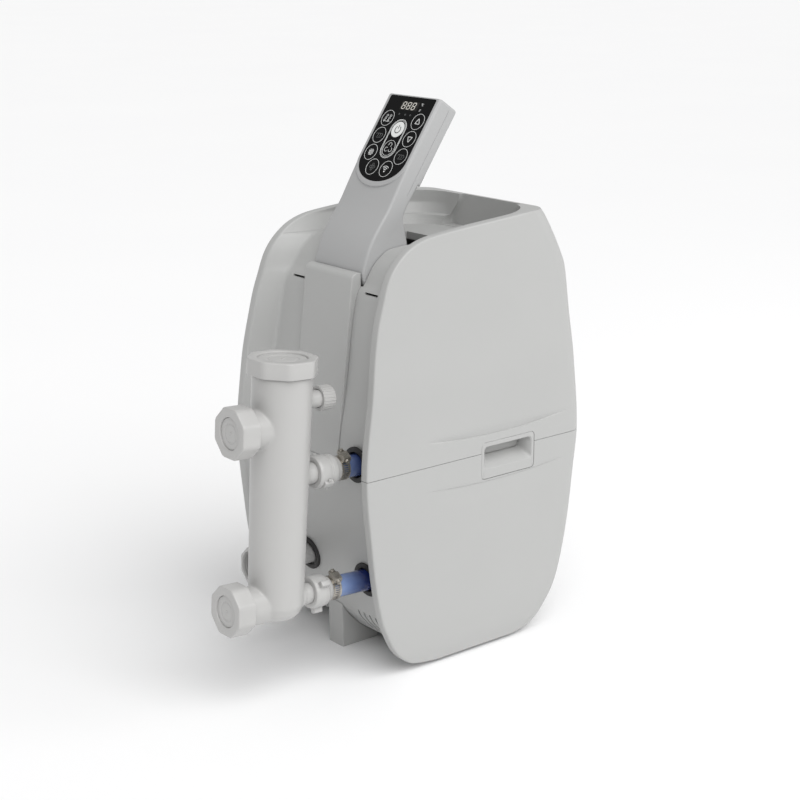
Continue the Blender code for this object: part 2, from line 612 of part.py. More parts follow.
def build_cell(white, rubber, metal):
    bottom = PORT_NECK_R - 0.0015
    profile = [(0.012, -bottom), (0.021, -0.0175), (0.0275, -0.012), (CELL_R_LOW, -0.003),
               (CELL_R_TOP, CELL_NECK_Z), (0.0310, CELL_NECK_Z), (0.0310, CELL_END_Z)]
    body = turned("cell_pipe", profile, ROUND, white, CELL)
    necks = [(0.0, True), (UPPER_PORT_Z, True)]
    port_end = PORT_FACE - 0.0095
    port_neck = PORT_FACE - PORT_NUT_LENGTH
    for i, (z, front) in enumerate(necks):
        shape = [(PORT_NECK_R, 0.0), (PORT_NECK_R, port_neck), (PORT_THREAD_R, port_neck),
                 (PORT_THREAD_R, port_end)]
        join(body, turned("port_neck_%d" % i, shape, SMALL_ROUND, place=facing(z, front), cutter=True))
    nipples = [(0.0, NIPPLE_R, COLLAR_START + 0.010), (UPPER_NIPPLE_Z, NIPPLE_R, COLLAR_START + 0.010),
               (BLEED_Z, 0.0100, 0.0570)]
    for i, (z, radius, reach) in enumerate(nipples):
        join(body, turned("nipple_%d" % i, [(radius, 0.0), (radius, reach)], SMALL_ROUND,
                          place=facing(z, False), cutter=True))
    inside = [(0.010, -bottom + CELL_WALL), (CELL_R_LOW - CELL_WALL, -0.002),
              (0.0310 - CELL_WALL, CELL_NECK_Z - 0.01), (0.0310 - CELL_WALL, CELL_END_Z + 0.01)]
    cut(body, turned("cell_bore", inside, SMALL_ROUND, place=CELL, cutter=True))
    for i, (z, front) in enumerate(necks):
        radius = PORT_THREAD_R - CELL_WALL
        cut(body, turned("port_bore_%d" % i, [(radius, 0.005), (radius, port_end + 0.01)], SMALL_ROUND,
                         place=facing(z, front), cutter=True))
    for i, (z, radius, reach) in enumerate(nipples):
        cut(body, turned("nipple_bore_%d" % i, [(radius - 0.0035, 0.005), (radius - 0.0035, reach + 0.01)],
                         16, place=facing(z, False), cutter=True))

    build_cap("cell_cap", CELL, CELL_NECK_Z, CELL_END_Z, 0.0310, 0.0277, CELL_NUT_FLATS, CELL_TOP_Z,
              white, rubber)
    for tag, z in (("upper_port", UPPER_PORT_Z), ("lower_port", 0.0)):
        build_cap(tag, facing(z, True), port_neck, port_end, PORT_THREAD_R, 0.0180, PORT_NUT_FLATS,
                  PORT_FACE, white, rubber)

    build_bleed_cap(white, rubber)
    build_plates(metal)


def build_bleed_cap(white, rubber):
    """Small knurled cap with its sealing washer."""
    place = facing(BLEED_Z, False)
    low, high, radius, ribs = 0.0490, 0.0660, 0.0142, 20
    ring = []
    for i in range(ribs * 2):
        ring.append(radius if i % 2 else radius - 0.0009)
    rings = []
    for scale, height in ((0.0, low), (0.0, high - 0.0015), (0.0015, high)):
        points = circle(1.0, ribs * 2)
        rings.append([(x * (r - scale), y * (r - scale), height) for r, (x, y) in zip(ring, points)])
    cap = loft("bleed_cap", rings, white, place)
    cut(cap, turned("bleed_cap_bore", [(0.0106, low - 0.01), (0.0106, 0.0605)], SMALL_ROUND, place=place,
                    cutter=True))
    turned("bleed_washer", [(0.0098, 0.0570 + GAP), (0.0098, 0.0590)], SMALL_ROUND, rubber, place)


def build_plates(metal):
    """Electrolysis plates hanging from one carrier inside the cell pipe."""
    plates, plate_t, pitch = 5, 0.0012, 0.0060
    low, high, top = 0.060, 0.245, 0.2560
    outline = []
    for i in range(plates):
        x = (i - (plates - 1) / 2) * pitch
        outline += [(x - plate_t / 2, high), (x - plate_t / 2, low), (x + plate_t / 2, low),
                    (x + plate_t / 2, high)]
    outline += [(0.015, high), (0.015, top), (-0.015, top), (-0.015, high)]
    rings = [[(x, y, z) for x, z in outline] for y in (-0.016, 0.016)]
    loft("electrode_stack", rings, metal, CELL)


def build_coupling(tag, z, length, wings, white):
    """Captive collar on the cell pipe's nipple, and the barbed tail that the hose goes over."""
    place = facing(z, False)
    end = COLLAR_START + length
    radius = COLLAR_R
    profile = [(radius - 0.003, COLLAR_START), (radius, COLLAR_START + 0.003), (radius, COLLAR_START + 0.014),
               (radius - 0.0015, COLLAR_START + 0.016), (radius - 0.0015, end - 0.006),
               (radius - 0.0045, end)]
    collar = turned(tag + "_collar", profile, ROUND, white, place)
    low, high = COLLAR_START + 0.005, COLLAR_START + 0.005 + wings[1]
    for i in range(wings[0]):
        angle = math.radians(wings[3]) + 2 * math.pi * i / wings[0]
        lug = box("%s_lug_%d" % (tag, i), (radius - 0.004, -wings[2] / 2, low),
                  (radius + wings[4], wings[2] / 2, high), None,
                  place @ Matrix.Rotation(angle, 4, 'Z'), True)
        join(collar, lug)
    step = COLLAR_START + 0.012
    bore = [(NIPPLE_R + GAP, COLLAR_START - 0.01), (NIPPLE_R + GAP, step + 0.004 + GAP),
            (HOSE_R + 0.0012, step + 0.004 + GAP), (HOSE_R + 0.0012, end + 0.01)]
    cut(collar, turned(tag + "_collar_bore", bore, SMALL_ROUND, place=place, cutter=True))
    tail_r = HOSE_R - HOSE_WALL - GAP
    flange = step + 0.004 + 2 * GAP
    tail = [(HOSE_R + 0.0009, flange), (HOSE_R + 0.0009, flange + 0.002), (tail_r, flange + 0.002),
            (tail_r, end + CLAMP_WIDTH + 0.004), (tail_r - 0.0025, end + CLAMP_WIDTH + 0.004),
            (tail_r - 0.0025, flange)]
    turned(tag + "_hose_tail", tail, SMALL_ROUND, white, place, ring=True)
    return flange + 0.002 + GAP, end


def build_hose(tag, z, start, hole_z, blue):
    """Hose from its tail on the cell pipe straight back through the housing to the heater."""
    place = facing(z, False)
    near = place @ Vector((0, 0, start))
    ahead = (place @ Vector((0, 0, start + 0.1)) - near).normalized()
    through = near + ahead * (HOSE_INSIDE_Y - near.y) / ahead.y
    lead = through + ahead * 0.035
    far = Vector((HOSE_X, HEATER_Y - HEATER_R - 0.012, hole_z))
    outer = [near.lerp(through, i / 4) for i in range(4)]
    for i in range(7):
        outer.append(through.lerp(lead, i / 6).lerp(lead.lerp(far, i / 6), i / 6))
    steps = len(outer) - 1
    bm = bmesh.new()
    walls = []
    for radius in (HOSE_R, HOSE_R - HOSE_WALL):
        rows = []
        for i, point in enumerate(outer):
            after, before = outer[min(i + 1, steps)], outer[max(i - 1, 0)]
            turn = along(after - before, point)
            rows.append([bm.verts.new(turn @ Vector((x, y, 0.0))) for x, y in circle(radius, 16)])
        walls.append(rows)
    for rows in walls:
        for lower, upper in zip(rows, rows[1:]):
            for i in range(16):
                j = (i + 1) % 16
                bm.faces.new((lower[i], lower[j], upper[j], upper[i]))
    for index in (0, -1):
        for i in range(16):
            j = (i + 1) % 16
            bm.faces.new((walls[0][index][i], walls[0][index][j], walls[1][index][j], walls[1][index][i]))
    finish_mesh(bm, tag + "_hose", blue)


def build_clamp(tag, z, low, turn, steel):
    """Worm-drive clamp: band with its screw housing, and the screw."""
    place = facing(z, False) @ Matrix.Rotation(math.radians(turn), 4, 'Z')
    inner, outer = HOSE_R + GAP, HOSE_R + 0.0014
    high = low + CLAMP_WIDTH
    band = turned(tag + "_clamp_band", [(outer, low), (outer, high)], ROUND, steel, place)
    seat_x, seat = outer + 0.0030, 0.0042
    block = box(tag + "_clamp_seat", (outer - 0.0015, -0.0065, low + 0.001), (outer + 0.0072, 0.0065, high - 0.001),
                None, place, True)
    join(band, block)
    screw_place = place @ Matrix.Translation((seat_x + 0.0002, 0, (low + high) / 2)) \
        @ Matrix.Rotation(math.radians(90), 4, 'X')
    cut(band, turned(tag + "_band_bore", [(inner, low - 0.01), (inner, high + 0.01)], ROUND, place=place,
                     cutter=True),
        turned(tag + "_screw_bore", [(0.0026 + GAP, -0.012), (0.0026 + GAP, 0.012)], 16, place=screw_place,
               cutter=True))
    head = [(0.0026, -0.0085), (0.0026, 0.0068), (seat, 0.0068), (seat, 0.0105)]
    turned(tag + "_clamp_screw", head, 16, steel, screw_place)


# ---- third connection, grommets and cable gland ---------------------------------------------------
def build_grommets(rubber):
    for name, x, z, upright in HOLES:
        bore = HOSE_R + GROMMET_BORE
        profile = [(bore, -0.0055), (GROMMET_NECK_R, -0.0055), (GROMMET_NECK_R, GAP),
                   (GROMMET_FLANGE_R, GAP), (GROMMET_FLANGE_R - 0.0012, GAP + GROMMET_FLANGE_T),
                   (bore, GAP + GROMMET_FLANGE_T)]
        turned(name + "_grommet", profile, ROUND, rubber, hole_place(x, z, upright), ring=True)


def build_return(white):
    """Short pipe end with an open union nut, ready for a hose from the tub."""
    face_y = -0.207
    place = along((0, -1, 0), (RETURN_X, 0.0, RETURN_Z))
    pipe_r, flange_r = RETURN_PIPE_R, RETURN_PIPE_R + 0.0047
    pipe_bore, thread_r = pipe_r - 0.0033, flange_r + 0.0023
    flange_low = 0.1830
    profile = [(pipe_r, 0.045), (pipe_r, flange_low), (flange_r, flange_low), (flange_r, flange_low + 0.003),
               (pipe_bore, flange_low + 0.003), (pipe_bore, 0.045)]
    turned("return_pipe", profile, SMALL_ROUND, white, place, ring=True)
    low = flange_low - 0.0045
    nut = octagon_nut("return_union_nut", 0.0480, low, -face_y, white, place)
    bore = [(pipe_r + 0.0004, low - 0.01), (pipe_r + 0.0004, flange_low - GAP), (thread_r, flange_low - GAP),
            (thread_r, 0.24)]
    cut(nut, turned("return_nut_bore", bore, ROUND, place=place, cutter=True))


def build_gland(black):
    y = read_curve(REAR_WALL, 0.070)
    profile = [(0.0035, -0.012), (0.0078, -0.012), (0.0078, 0.0022), (0.0115, 0.0022), (0.0105, 0.008),
               (0.0060, 0.016), (0.0035, 0.016)]
    turned("cable_gland", profile, SMALL_ROUND, black, along((0, 1, 0), (-0.070, y + 0.0015, 0.070)), ring=True)


# ---- inside the housing -------------------------------------------------------------------------
HEATER_Y = -0.010
HEATER_R = 0.024


def build_inside(steel, dark, copper, green, white, aluminium):
    floor = 0.0098
    heater = turned("water_heater", [(0.018, 0.085), (HEATER_R, 0.091), (HEATER_R, 0.281), (0.018, 0.287)],
                    SMALL_ROUND, steel, Matrix.Translation((HOSE_X, HEATER_Y, 0.0)))
    for i, z in enumerate((UPPER_HOSE_Z, LOWER_HOSE_Z)):
        spigot = turned("heater_spigot_%d" % i, [(HOSE_R - HOSE_WALL - GAP, 0.0),
                        (HOSE_R - HOSE_WALL - GAP, HEATER_R + 0.0117)], 16,
                        place=along((0, -1, 0), (HOSE_X, HEATER_Y, z)), cutter=True)
        join(heater, spigot)
    volute = turned("pump_volute", [(0.030, 0.0), (0.046, 0.006), (0.046, 0.030), (0.030, 0.036)],
                    SMALL_ROUND, dark, along((1, 0, 0), (-0.052, 0.040, 0.062)))
    inlet = turned("volute_inlet", [(0.0120, 0.0), (0.0120, 0.070)], 16,
                   place=along((0, -1, 0), (RETURN_X, 0.020, 0.062 + 0.015)), cutter=True)
    join(volute, inlet)
    turned("pump_motor", [(0.036, 0.0), (0.036, 0.078), (0.030, 0.084)], SMALL_ROUND, dark,
           along((1, 0, 0), (-0.052 + 0.036 + GAP, 0.040, 0.062)))
    turned("pump_impeller_shaft", [(0.004, 0.0), (0.004, 0.014)], 16, steel,
           along((1, 0, 0), (0.0688, 0.040, 0.062)))
    blower = turned("air_blower", [(0.046, 0.0), (0.055, 0.006), (0.055, 0.044), (0.046, 0.050)],
                    SMALL_ROUND, dark, Matrix.Translation((-0.030, 0.060, 0.300)))
    outlet = box("blower_outlet", (-0.090, 0.030, 0.310), (-0.060, 0.145, 0.335), cutter=True)
    join(blower, outlet)
    turned("blower_motor", [(0.030, 0.0), (0.030, 0.050), (0.024, 0.056)], SMALL_ROUND, aluminium,
           Matrix.Translation((-0.030, 0.060, 0.350 + GAP)))
    box("transformer", (-0.114, 0.030, floor + 0.003), (-0.066, 0.095, 0.075), copper)
    box("control_board", (0.020, 0.148, 0.290), (0.100, 0.150, 0.400), green)
    box("flow_switch", (0.1055, -0.022, 0.180), (0.1200, 0.010, 0.215), white)


# ---- assembly -----------------------------------------------------------------------------------
def build():
    clear_scene()
    grey = make_material("housing_grey", (0.565, 0.565, 0.555), 0.42)
    white = make_material("pipe_white", (0.58, 0.575, 0.57), 0.38)
    rubber = make_material("black_rubber", (0.02, 0.02, 0.021), 0.75)
    black = make_material("overlay_black", (0.012, 0.012, 0.013), 0.08)
    smoke = make_material("smoked_window", (0.02, 0.02, 0.022), 0.05)
    steel = make_material("clamp_steel", (0.55, 0.52, 0.47), 0.30, 1.0)
    blue = make_material("hose_blue", (0.10, 0.17, 0.45), 0.20)
    green = make_material("board_green", (0.02, 0.16, 0.07), 0.45)
    dark = make_material("motor_black", (0.03, 0.03, 0.032), 0.5)
    copper = make_material("winding_copper", (0.48, 0.22, 0.10), 0.4, 1.0)
    metal = make_material("plate_titanium", (0.42, 0.41, 0.40), 0.35, 1.0)
    aluminium = make_material("blower_aluminium", (0.60, 0.60, 0.61), 0.35, 1.0)

    lower, _ = build_housing(grey)
    build_column(lower, grey)
    build_feet(grey, rubber)
    build_stalk(grey, black, smoke, green, steel, dark)
    build_cell(white, rubber, metal)
    couplings = [("upper", UPPER_NIPPLE_Z, UPPER_COLLAR_LENGTH, UPPER_HOSE_Z, (2, 0.012, 0.009, 35, 0.0025), -60),
                 ("lower", 0.0, LOWER_COLLAR_LENGTH, LOWER_HOSE_Z, (3, 0.011, 0.007, 80, 0.0060), -60)]
    for tag, z, length, hole_z, wings, turn in couplings:
        start, end = build_coupling(tag, z, length, wings, white)
        build_clamp(tag, z, end + GAP, turn, steel)
        build_hose(tag, z, start, hole_z, blue)
    build_grommets(rubber)
    build_return(white)
    build_gland(dark)
    build_inside(steel, dark, copper, green, white, aluminium)
    centre_depth()


def centre_depth():
    """Move the whole unit along Y, so that the origin is under the middle of its depth."""
    bpy.context.view_layer.update()
    pieces = [item for item in bpy.data.objects if not item.hide_render]
    depths = [(item.matrix_world @ vertex.co).y for item in pieces for vertex in item.data.vertices]
    shift = Matrix.Translation((0, -(min(depths) + max(depths)) / 2, 0))
    for item in bpy.data.objects:
        item.matrix_world = shift @ item.matrix_world


build()
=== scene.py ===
import json
import math

import bmesh
import bpy
import numpy as np
from mathutils import Matrix, Vector


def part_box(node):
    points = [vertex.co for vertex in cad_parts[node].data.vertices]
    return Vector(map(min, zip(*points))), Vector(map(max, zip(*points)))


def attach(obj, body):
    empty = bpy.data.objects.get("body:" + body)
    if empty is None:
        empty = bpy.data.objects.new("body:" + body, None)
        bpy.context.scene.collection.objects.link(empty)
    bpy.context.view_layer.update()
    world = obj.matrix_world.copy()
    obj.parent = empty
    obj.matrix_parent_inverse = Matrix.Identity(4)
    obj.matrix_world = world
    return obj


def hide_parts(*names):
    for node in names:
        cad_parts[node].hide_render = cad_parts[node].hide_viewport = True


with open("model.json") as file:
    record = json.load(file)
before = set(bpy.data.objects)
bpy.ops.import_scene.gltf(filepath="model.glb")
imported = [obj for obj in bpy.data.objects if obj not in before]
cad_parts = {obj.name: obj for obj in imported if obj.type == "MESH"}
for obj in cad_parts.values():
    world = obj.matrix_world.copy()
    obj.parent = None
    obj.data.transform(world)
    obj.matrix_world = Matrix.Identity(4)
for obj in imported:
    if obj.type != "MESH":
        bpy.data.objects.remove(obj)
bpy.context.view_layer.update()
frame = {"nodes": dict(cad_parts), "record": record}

rearMost = 0.186  # the rear wall's furthest point as drawn below, where y = 0 is inside the housing
drawnShift = Vector((0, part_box("upper_housing")[1].y - rearMost, 0))


# ---- camera, lights and floor

camera = {"place": (1.5507, -1.2072, 0.857), "turn": 50.7, "tilt": 15.7, "lens": 76.6, "sensor": 36.0}
studio = {
    "sky": (0.52, 1.0),
    "floorColour": (0.93, 0.93, 0.935),
    "floorHalf": 40.0,
    # broad light from the right and above: where it comes from, strength, spread in degrees
    "key": ((0.66, -0.10, 0.75), 2.15, 60.0),
    # name: place, aimed at, size, power
    "lamps": {"edgeBox": ((1.4, 1.8, 1.6), (0.1, 0.05, 0.35), 1.2, 9.0)},
}


def makeCamera():
    data = bpy.data.cameras.new("camera")
    data.lens, data.sensor_width = camera["lens"], camera["sensor"]
    item = bpy.data.objects.new("camera", data)
    bpy.context.scene.collection.objects.link(item)
    item.location = camera["place"]
    item.rotation_euler = (math.radians(90 - camera["tilt"]), 0, math.radians(camera["turn"]))
    bpy.context.scene.camera = item


def makeLamp(name, place, target, size, power):
    data = bpy.data.lights.new(name, "AREA")
    data.shape, data.size, data.energy = "SQUARE", size, power
    item = bpy.data.objects.new(name, data)
    bpy.context.scene.collection.objects.link(item)
    item.location = place
    aim = Vector(target) - Vector(place)
    item.rotation_euler = aim.to_track_quat("-Z", "Y").to_euler()


def makeStudio():
    world = bpy.data.worlds.new("studio")
    bpy.context.scene.world = world
    world.use_nodes = True
    background = world.node_tree.nodes["Background"]
    background.inputs["Color"].default_value = (1, 1, 1, 1)
    lit, seen = studio["sky"]  # the strength that lights the object, and the one behind it
    path = world.node_tree.nodes.new("ShaderNodeLightPath")
    level = world.node_tree.nodes.new("ShaderNodeMapRange")
    level.inputs["To Min"].default_value, level.inputs["To Max"].default_value = lit, seen
    world.node_tree.links.new(path.outputs["Is Camera Ray"], level.inputs["Value"])
    world.node_tree.links.new(level.outputs["Result"], background.inputs["Strength"])
    bpy.context.scene.view_settings.view_transform = "Standard"
    for name, (place, target, size, power) in studio["lamps"].items():
        makeLamp(name, place, target, size, power)
    toward, strength, spread = studio["key"]
    key = bpy.data.lights.new("key", "SUN")
    key.energy, key.angle = strength, math.radians(spread)
    item = bpy.data.objects.new("key", key)
    bpy.context.scene.collection.objects.link(item)
    item.rotation_euler = (-Vector(toward)).to_track_quat("-Z", "Y").to_euler()
    half = studio["floorHalf"]
    mesh = bpy.data.meshes.new("floor")
    mesh.from_pydata([(-half, -half, 0), (half, -half, 0), (half, half, 0), (-half, half, 0)], [],
                     [(0, 1, 2, 3)])
    floor = bpy.data.objects.new("floor", mesh)
    bpy.context.scene.collection.objects.link(floor)
    paper = Finish("studioPaper")
    shade = paper.noise(1.5, 2)
    mesh.materials.append(paper.surface({
        "Base Color": paper.mix((*studio["floorColour"], 1), (0.95, 0.95, 0.95, 1), shade),
        "Roughness": 0.85}))


# ---- node tools

class Wire:  # a node's socket, with sums written as they read
    def __init__(self, owner, socket):
        self.owner, self.socket = owner, socket

    def maths(self, operation, *values):
        return self.owner.node("ShaderNodeMath", {"operation": operation}, dict(enumerate(values)))

    def __add__(self, other):
        return self.maths("ADD", self, other)

    def __radd__(self, other):
        return self.maths("ADD", other, self)

    def __sub__(self, other):
        return self.maths("SUBTRACT", self, other)

    def __rsub__(self, other):
        return self.maths("SUBTRACT", other, self)

    def __mul__(self, other):
        return self.maths("MULTIPLY", self, other)

    def __rmul__(self, other):
        return self.maths("MULTIPLY", other, self)

    def __truediv__(self, other):
        return self.maths("DIVIDE", self, other)

    def held(self):  # kept between 0 and 1
        return self.owner.node("ShaderNodeClamp", {}, {0: self})


class Nodes:
    def __init__(self, tree):
        self.tree = tree

    def node(self, kind, settings, sockets, out=0):
        made = self.tree.nodes.new(kind)
        for key, value in settings.items():
            if key == "stops":
                for element, (place, colour) in zip(made.color_ramp.elements, value):
                    element.position, element.color = place, colour
            else:
                setattr(made, key, value)
        for key, value in sockets.items():
            if isinstance(value, Wire):
                self.tree.links.new(value.socket, made.inputs[key])
            else:
                made.inputs[key].default_value = value
        return None if out is None else Wire(self, made.outputs[out])


class Finish(Nodes):
    def __init__(self, name):
        self.material = bpy.data.materials.new(name)
        self.material.use_nodes = True
        self.material.node_tree.nodes.clear()
        super().__init__(self.material.node_tree)
        self.place = self.node("ShaderNodeTexCoord", {}, {}, "Object")

    def noise(self, scale, detail, stretch=(1, 1, 1)):
        place = self.node("ShaderNodeMapping", {}, {"Vector": self.place, "Scale": stretch})
        return self.node("ShaderNodeTexNoise", {}, {"Vector": place, "Scale": scale, "Detail": detail},
                         "Fac")

    def mix(self, first, second, factor):
        return self.node("ShaderNodeMix", {"data_type": "RGBA"}, {0: factor, 6: first, 7: second}, 2)

    def bump(self, height, distance, strength=1.0):
        return self.node("ShaderNodeBump", {}, {"Height": height, "Distance": distance,
                                                "Strength": strength}, "Normal")

    def surface(self, values):
        shader = self.node("ShaderNodeBsdfPrincipled", {}, values)
        self.node("ShaderNodeOutputMaterial", {}, {"Surface": shader}, None)
        return self.material


# ---- materials

plastics = {
    # colour, how far it wanders, roughness, depth of the grain, coat
    "housingGrey": {"colour": (0.425, 0.427, 0.420), "drift": 0.030, "rough": 0.44, "grain": 0.00002,
                    "coat": 0.0},
    "stalkGrey": {"colour": (0.405, 0.407, 0.408), "drift": 0.025, "rough": 0.40, "grain": 0.00002,
                  "coat": 0.0},
    "pipeWhite": {"colour": (0.455, 0.452, 0.444), "drift": 0.030, "rough": 0.36, "grain": 0.000012,
                  "coat": 0.12},
    "blackRubber": {"colour": (0.020, 0.019, 0.019), "drift": 0.008, "rough": 0.62, "grain": 0.00003,
                    "coat": 0.0},
    "motorBlack": {"colour": (0.030, 0.030, 0.032), "drift": 0.010, "rough": 0.50, "grain": 0.00003,
                   "coat": 0.0},
    "boardGreen": {"colour": (0.020, 0.160, 0.070), "drift": 0.040, "rough": 0.40, "grain": 0.00001,
                   "coat": 0.3},
    "panelBlack": {"colour": (0.0045, 0.0045, 0.0048), "drift": 0.002, "rough": 0.14, "grain": 0.000003,
                   "coat": 0.0,
                   "shine": 0.08},
    "windowSmoke": {"colour": (0.012, 0.011, 0.010), "drift": 0.003, "rough": 0.08, "grain": 0.000002,
                    "coat": 0.0,
                    "shine": 0.22},
    "printWhite": {"colour": (0.780, 0.790, 0.780), "drift": 0.030, "rough": 0.45, "grain": 0.000004,
                   "coat": 0.0},
    "printDim": {"colour": (0.150, 0.155, 0.155), "drift": 0.020, "rough": 0.45, "grain": 0.000004,
                 "coat": 0.0},
    "digitCream": {"colour": (0.700, 0.680, 0.620), "drift": 0.030, "rough": 0.35, "grain": 0.000004,
                   "coat": 0.2},
}
metals = {
    # colour, roughness, length of the brushed lines
    "clampSteel": {"colour": (0.52, 0.49, 0.44), "rough": 0.30, "brush": (60, 60, 900)},
    "plateTitanium": {"colour": (0.42, 0.41, 0.40), "rough": 0.38, "brush": (900, 900, 40)},
    "windingCopper": {"colour": (0.48, 0.22, 0.10), "rough": 0.40, "brush": (900, 60, 60)},
    "blowerAluminium": {"colour": (0.60, 0.60, 0.61), "rough": 0.36, "brush": (60, 60, 900)},
}
# pale is the hose's blue as painted in the light, deep is painted shade for where it runs into the dark
# housing
hoseLitAndShadedLook = {"pale": (0.200, 0.285, 0.500, 1), "deep": (0.016, 0.030, 0.145, 1), "rough": 0.16, "coat": 0.7}


def makePlastic(name, look):
    finish = Finish(name)
    cloud = finish.noise(9.0, 3)  # slow drift of the moulding's tone
    fine = finish.noise(1400.0, 2)  # spark-eroded grain
    pale = tuple(min(1, c * (1 + look["drift"])) for c in look["colour"])
    deep = tuple(c * (1 - look["drift"]) for c in look["colour"])
    tone = finish.mix((*deep, 1), (*pale, 1), (cloud * 0.8 + fine * 0.2).held())
    rough = look["rough"] + (cloud - 0.5) * 0.10 + (fine - 0.5) * 0.06
    return finish.surface({
        "Base Color": tone, "Roughness": rough, "Coat Weight": look["coat"], "Coat Roughness": 0.12,
        "Specular IOR Level": look.get("shine", 0.5),
        "Normal": finish.bump(fine, look["grain"])})


def makeMetal(name, look):
    finish = Finish(name)
    lines = finish.noise(1.0, 4, look["brush"])
    stain = finish.noise(35.0, 2)
    dark = tuple(c * 0.72 for c in look["colour"])
    tone = finish.mix((*dark, 1), (*look["colour"], 1), (lines * 0.7 + stain * 0.5).held())
    return finish.surface({
        "Base Color": tone, "Metallic": 1.0, "Roughness": look["rough"] + (lines - 0.5) * 0.22,
        "Normal": finish.bump(lines, 0.00003)})


def makeHoseBlueWithPaintedShade(start, end):  # the hose's own blue with painted light and shade: pale where it runs in the light, painted dark towards the housing's hole
    finish = Finish("hoseBlue")
    place = finish.node("ShaderNodeSeparateXYZ", {}, {0: finish.place}, "Y")
    share = ((place - start) / (end - start)).held()
    cloud = finish.noise(60.0, 2)
    fine = finish.noise(700.0, 1)
    # painted shade: the tone runs from the lit blue to the dark blue along Y towards the housing, with a
    # little random drift
    tone = finish.mix(hoseLitAndShadedLook["pale"], hoseLitAndShadedLook["deep"], (share * 1.15 + (cloud - 0.5) * 0.25).held())
    return finish.surface({
        "Base Color": tone, "Roughness": hoseLitAndShadedLook["rough"] + (cloud - 0.5) * 0.06,
        "Coat Weight": hoseLitAndShadedLook["coat"],
        "Coat Roughness": 0.06, "Normal": finish.bump(fine, 0.00001)})


makeCamera()
makeStudio()
look = {name: makePlastic(name, values) for name, values in plastics.items()}
look.update({name: makeMetal(name, values) for name, values in metals.items()})
print("materials:", len(look))


# ---- mesh tools

def smoothCurve(points):  # value and slope through (height, value) points, with no overshoot
    at, value = np.array([p[0] for p in points]), np.array([p[1] for p in points])
    step = np.diff(at)
    rise = np.diff(value) / step
    slope = np.zeros(len(at))
    slope[0], slope[-1] = rise[0], rise[-1]
    for i in range(1, len(at) - 1):
        if rise[i - 1] * rise[i] > 0:
            first, second = 2 * step[i] + step[i - 1], step[i] + 2 * step[i - 1]
            slope[i] = (first + second) / (first / rise[i - 1] + second / rise[i])

    def read(x):
        x = min(max(x, at[0]), at[-1])
        i = min(max(int(np.searchsorted(at, x)) - 1, 0), len(step) - 1)
        t = (x - at[i]) / step[i]
        lowShare, highShare = 2 * t**3 - 3 * t**2 + 1, 3 * t**2 - 2 * t**3
        return float(lowShare * value[i] + highShare * value[i + 1]
                     + step[i] * ((t**3 - 2 * t**2 + t) * slope[i] + (t**3 - t**2) * slope[i + 1]))
    return read


def smoothPath(points, steps):  # curve through points in a plane or in space
    points = [Vector(p) for p in points]
    ends = [points[0] * 2 - points[1]] + points + [points[-1] * 2 - points[-2]]
    path = []
    for a, b, c, d in zip(ends, ends[1:], ends[2:], ends[3:]):
        for i in range(steps):
            t = i / steps
            square, cube = 2 * a - 5 * b + 4 * c - d, 3 * b - a - 3 * c + d
            path.append(0.5 * (2 * b + (c - a) * t + square * t**2 + cube * t**3))
    return path + [points[-1]]


def roundCorner(before, corner, after, reachIn, reachOut, steps):
    start = corner + (before - corner).normalized() * reachIn
    end = corner + (after - corner).normalized() * reachOut
    shares = [i / steps for i in range(steps + 1)]
    return [start * (1 - t)**2 + corner * (2 * t * (1 - t)) + end * t**2 for t in shares]


def roundedPath(points, closed=False, steps=4):  # points are (a, b) or (a, b, radius)
    path, count = [], len(points)
    for i, point in enumerate(points):
        here = Vector(point[:2])
        if len(point) < 3 or (not closed and i in (0, count - 1)):
            path.append(here)
            continue
        before, after = Vector(points[i - 1][:2]), Vector(points[(i + 1) % count][:2])
        half = (before - here).angle(after - here) / 2
        reach = min(point[2] / math.tan(half), 0.48 * (before - here).length, 0.48 * (after - here).length)
        path += roundCorner(before, here, after, reach, reach, steps)
    return path


def roundedBox(low, high, radius, steps=4):
    (a, b), (c, d) = low, high
    return roundedPath([(a, b, radius), (c, b, radius), (c, d, radius), (a, d, radius)], True, steps)


def ringMesh(rings, cap=True, bridge=False):  # rings of equal count; bridge joins the last to the first
    bm = bmesh.new()
    rows = [[bm.verts.new(point) for point in ring] for ring in rings]
    count = len(rows[0])
    pairs = list(zip(rows, rows[1:])) + ([(rows[-1], rows[0])] if bridge else [])
    for lower, upper in pairs:
        for i in range(count):
            j = (i + 1) % count
            bm.faces.new((lower[i], lower[j], upper[j], upper[i]))
    if cap and not bridge:
        bm.faces.new(list(reversed(rows[0])))
        bm.faces.new(rows[-1])
    bmesh.ops.remove_doubles(bm, verts=bm.verts, dist=1e-6)
    return bm


def objectFrom(bm, name, material=None, place=None, sharp=32):
    if place is not None:
        bm.transform(place)
    bmesh.ops.recalc_face_normals(bm, faces=bm.faces)
    mesh = bpy.data.meshes.new(name)
    bm.to_mesh(mesh)
    bm.free()
    mesh.shade_smooth()
    mesh.set_sharp_from_angle(angle=math.radians(sharp))
    if material is not None:
        mesh.materials.append(material)
    item = bpy.data.objects.new(name, mesh)
    bpy.context.scene.collection.objects.link(item)
    return item


def settle(item, sharp=None):  # what its modifiers make becomes its mesh
    bpy.context.view_layer.update()
    mesh = bpy.data.meshes.new_from_object(item.evaluated_get(bpy.context.evaluated_depsgraph_get()))
    item.modifiers.clear()
    item.data = mesh
    if sharp is not None:
        mesh.shade_smooth()
        mesh.set_sharp_from_angle(angle=math.radians(sharp))
    return item


def discard(*items):
    for item in items:
        bpy.data.objects.remove(item)


def combine(item, others, operation, sharp=32):
    for other in others:
        change = item.modifiers.new("change", "BOOLEAN")
        change.object, change.operation, change.solver = other, operation, "MANIFOLD"
    settle(item, sharp)
    discard(*others)
    return item


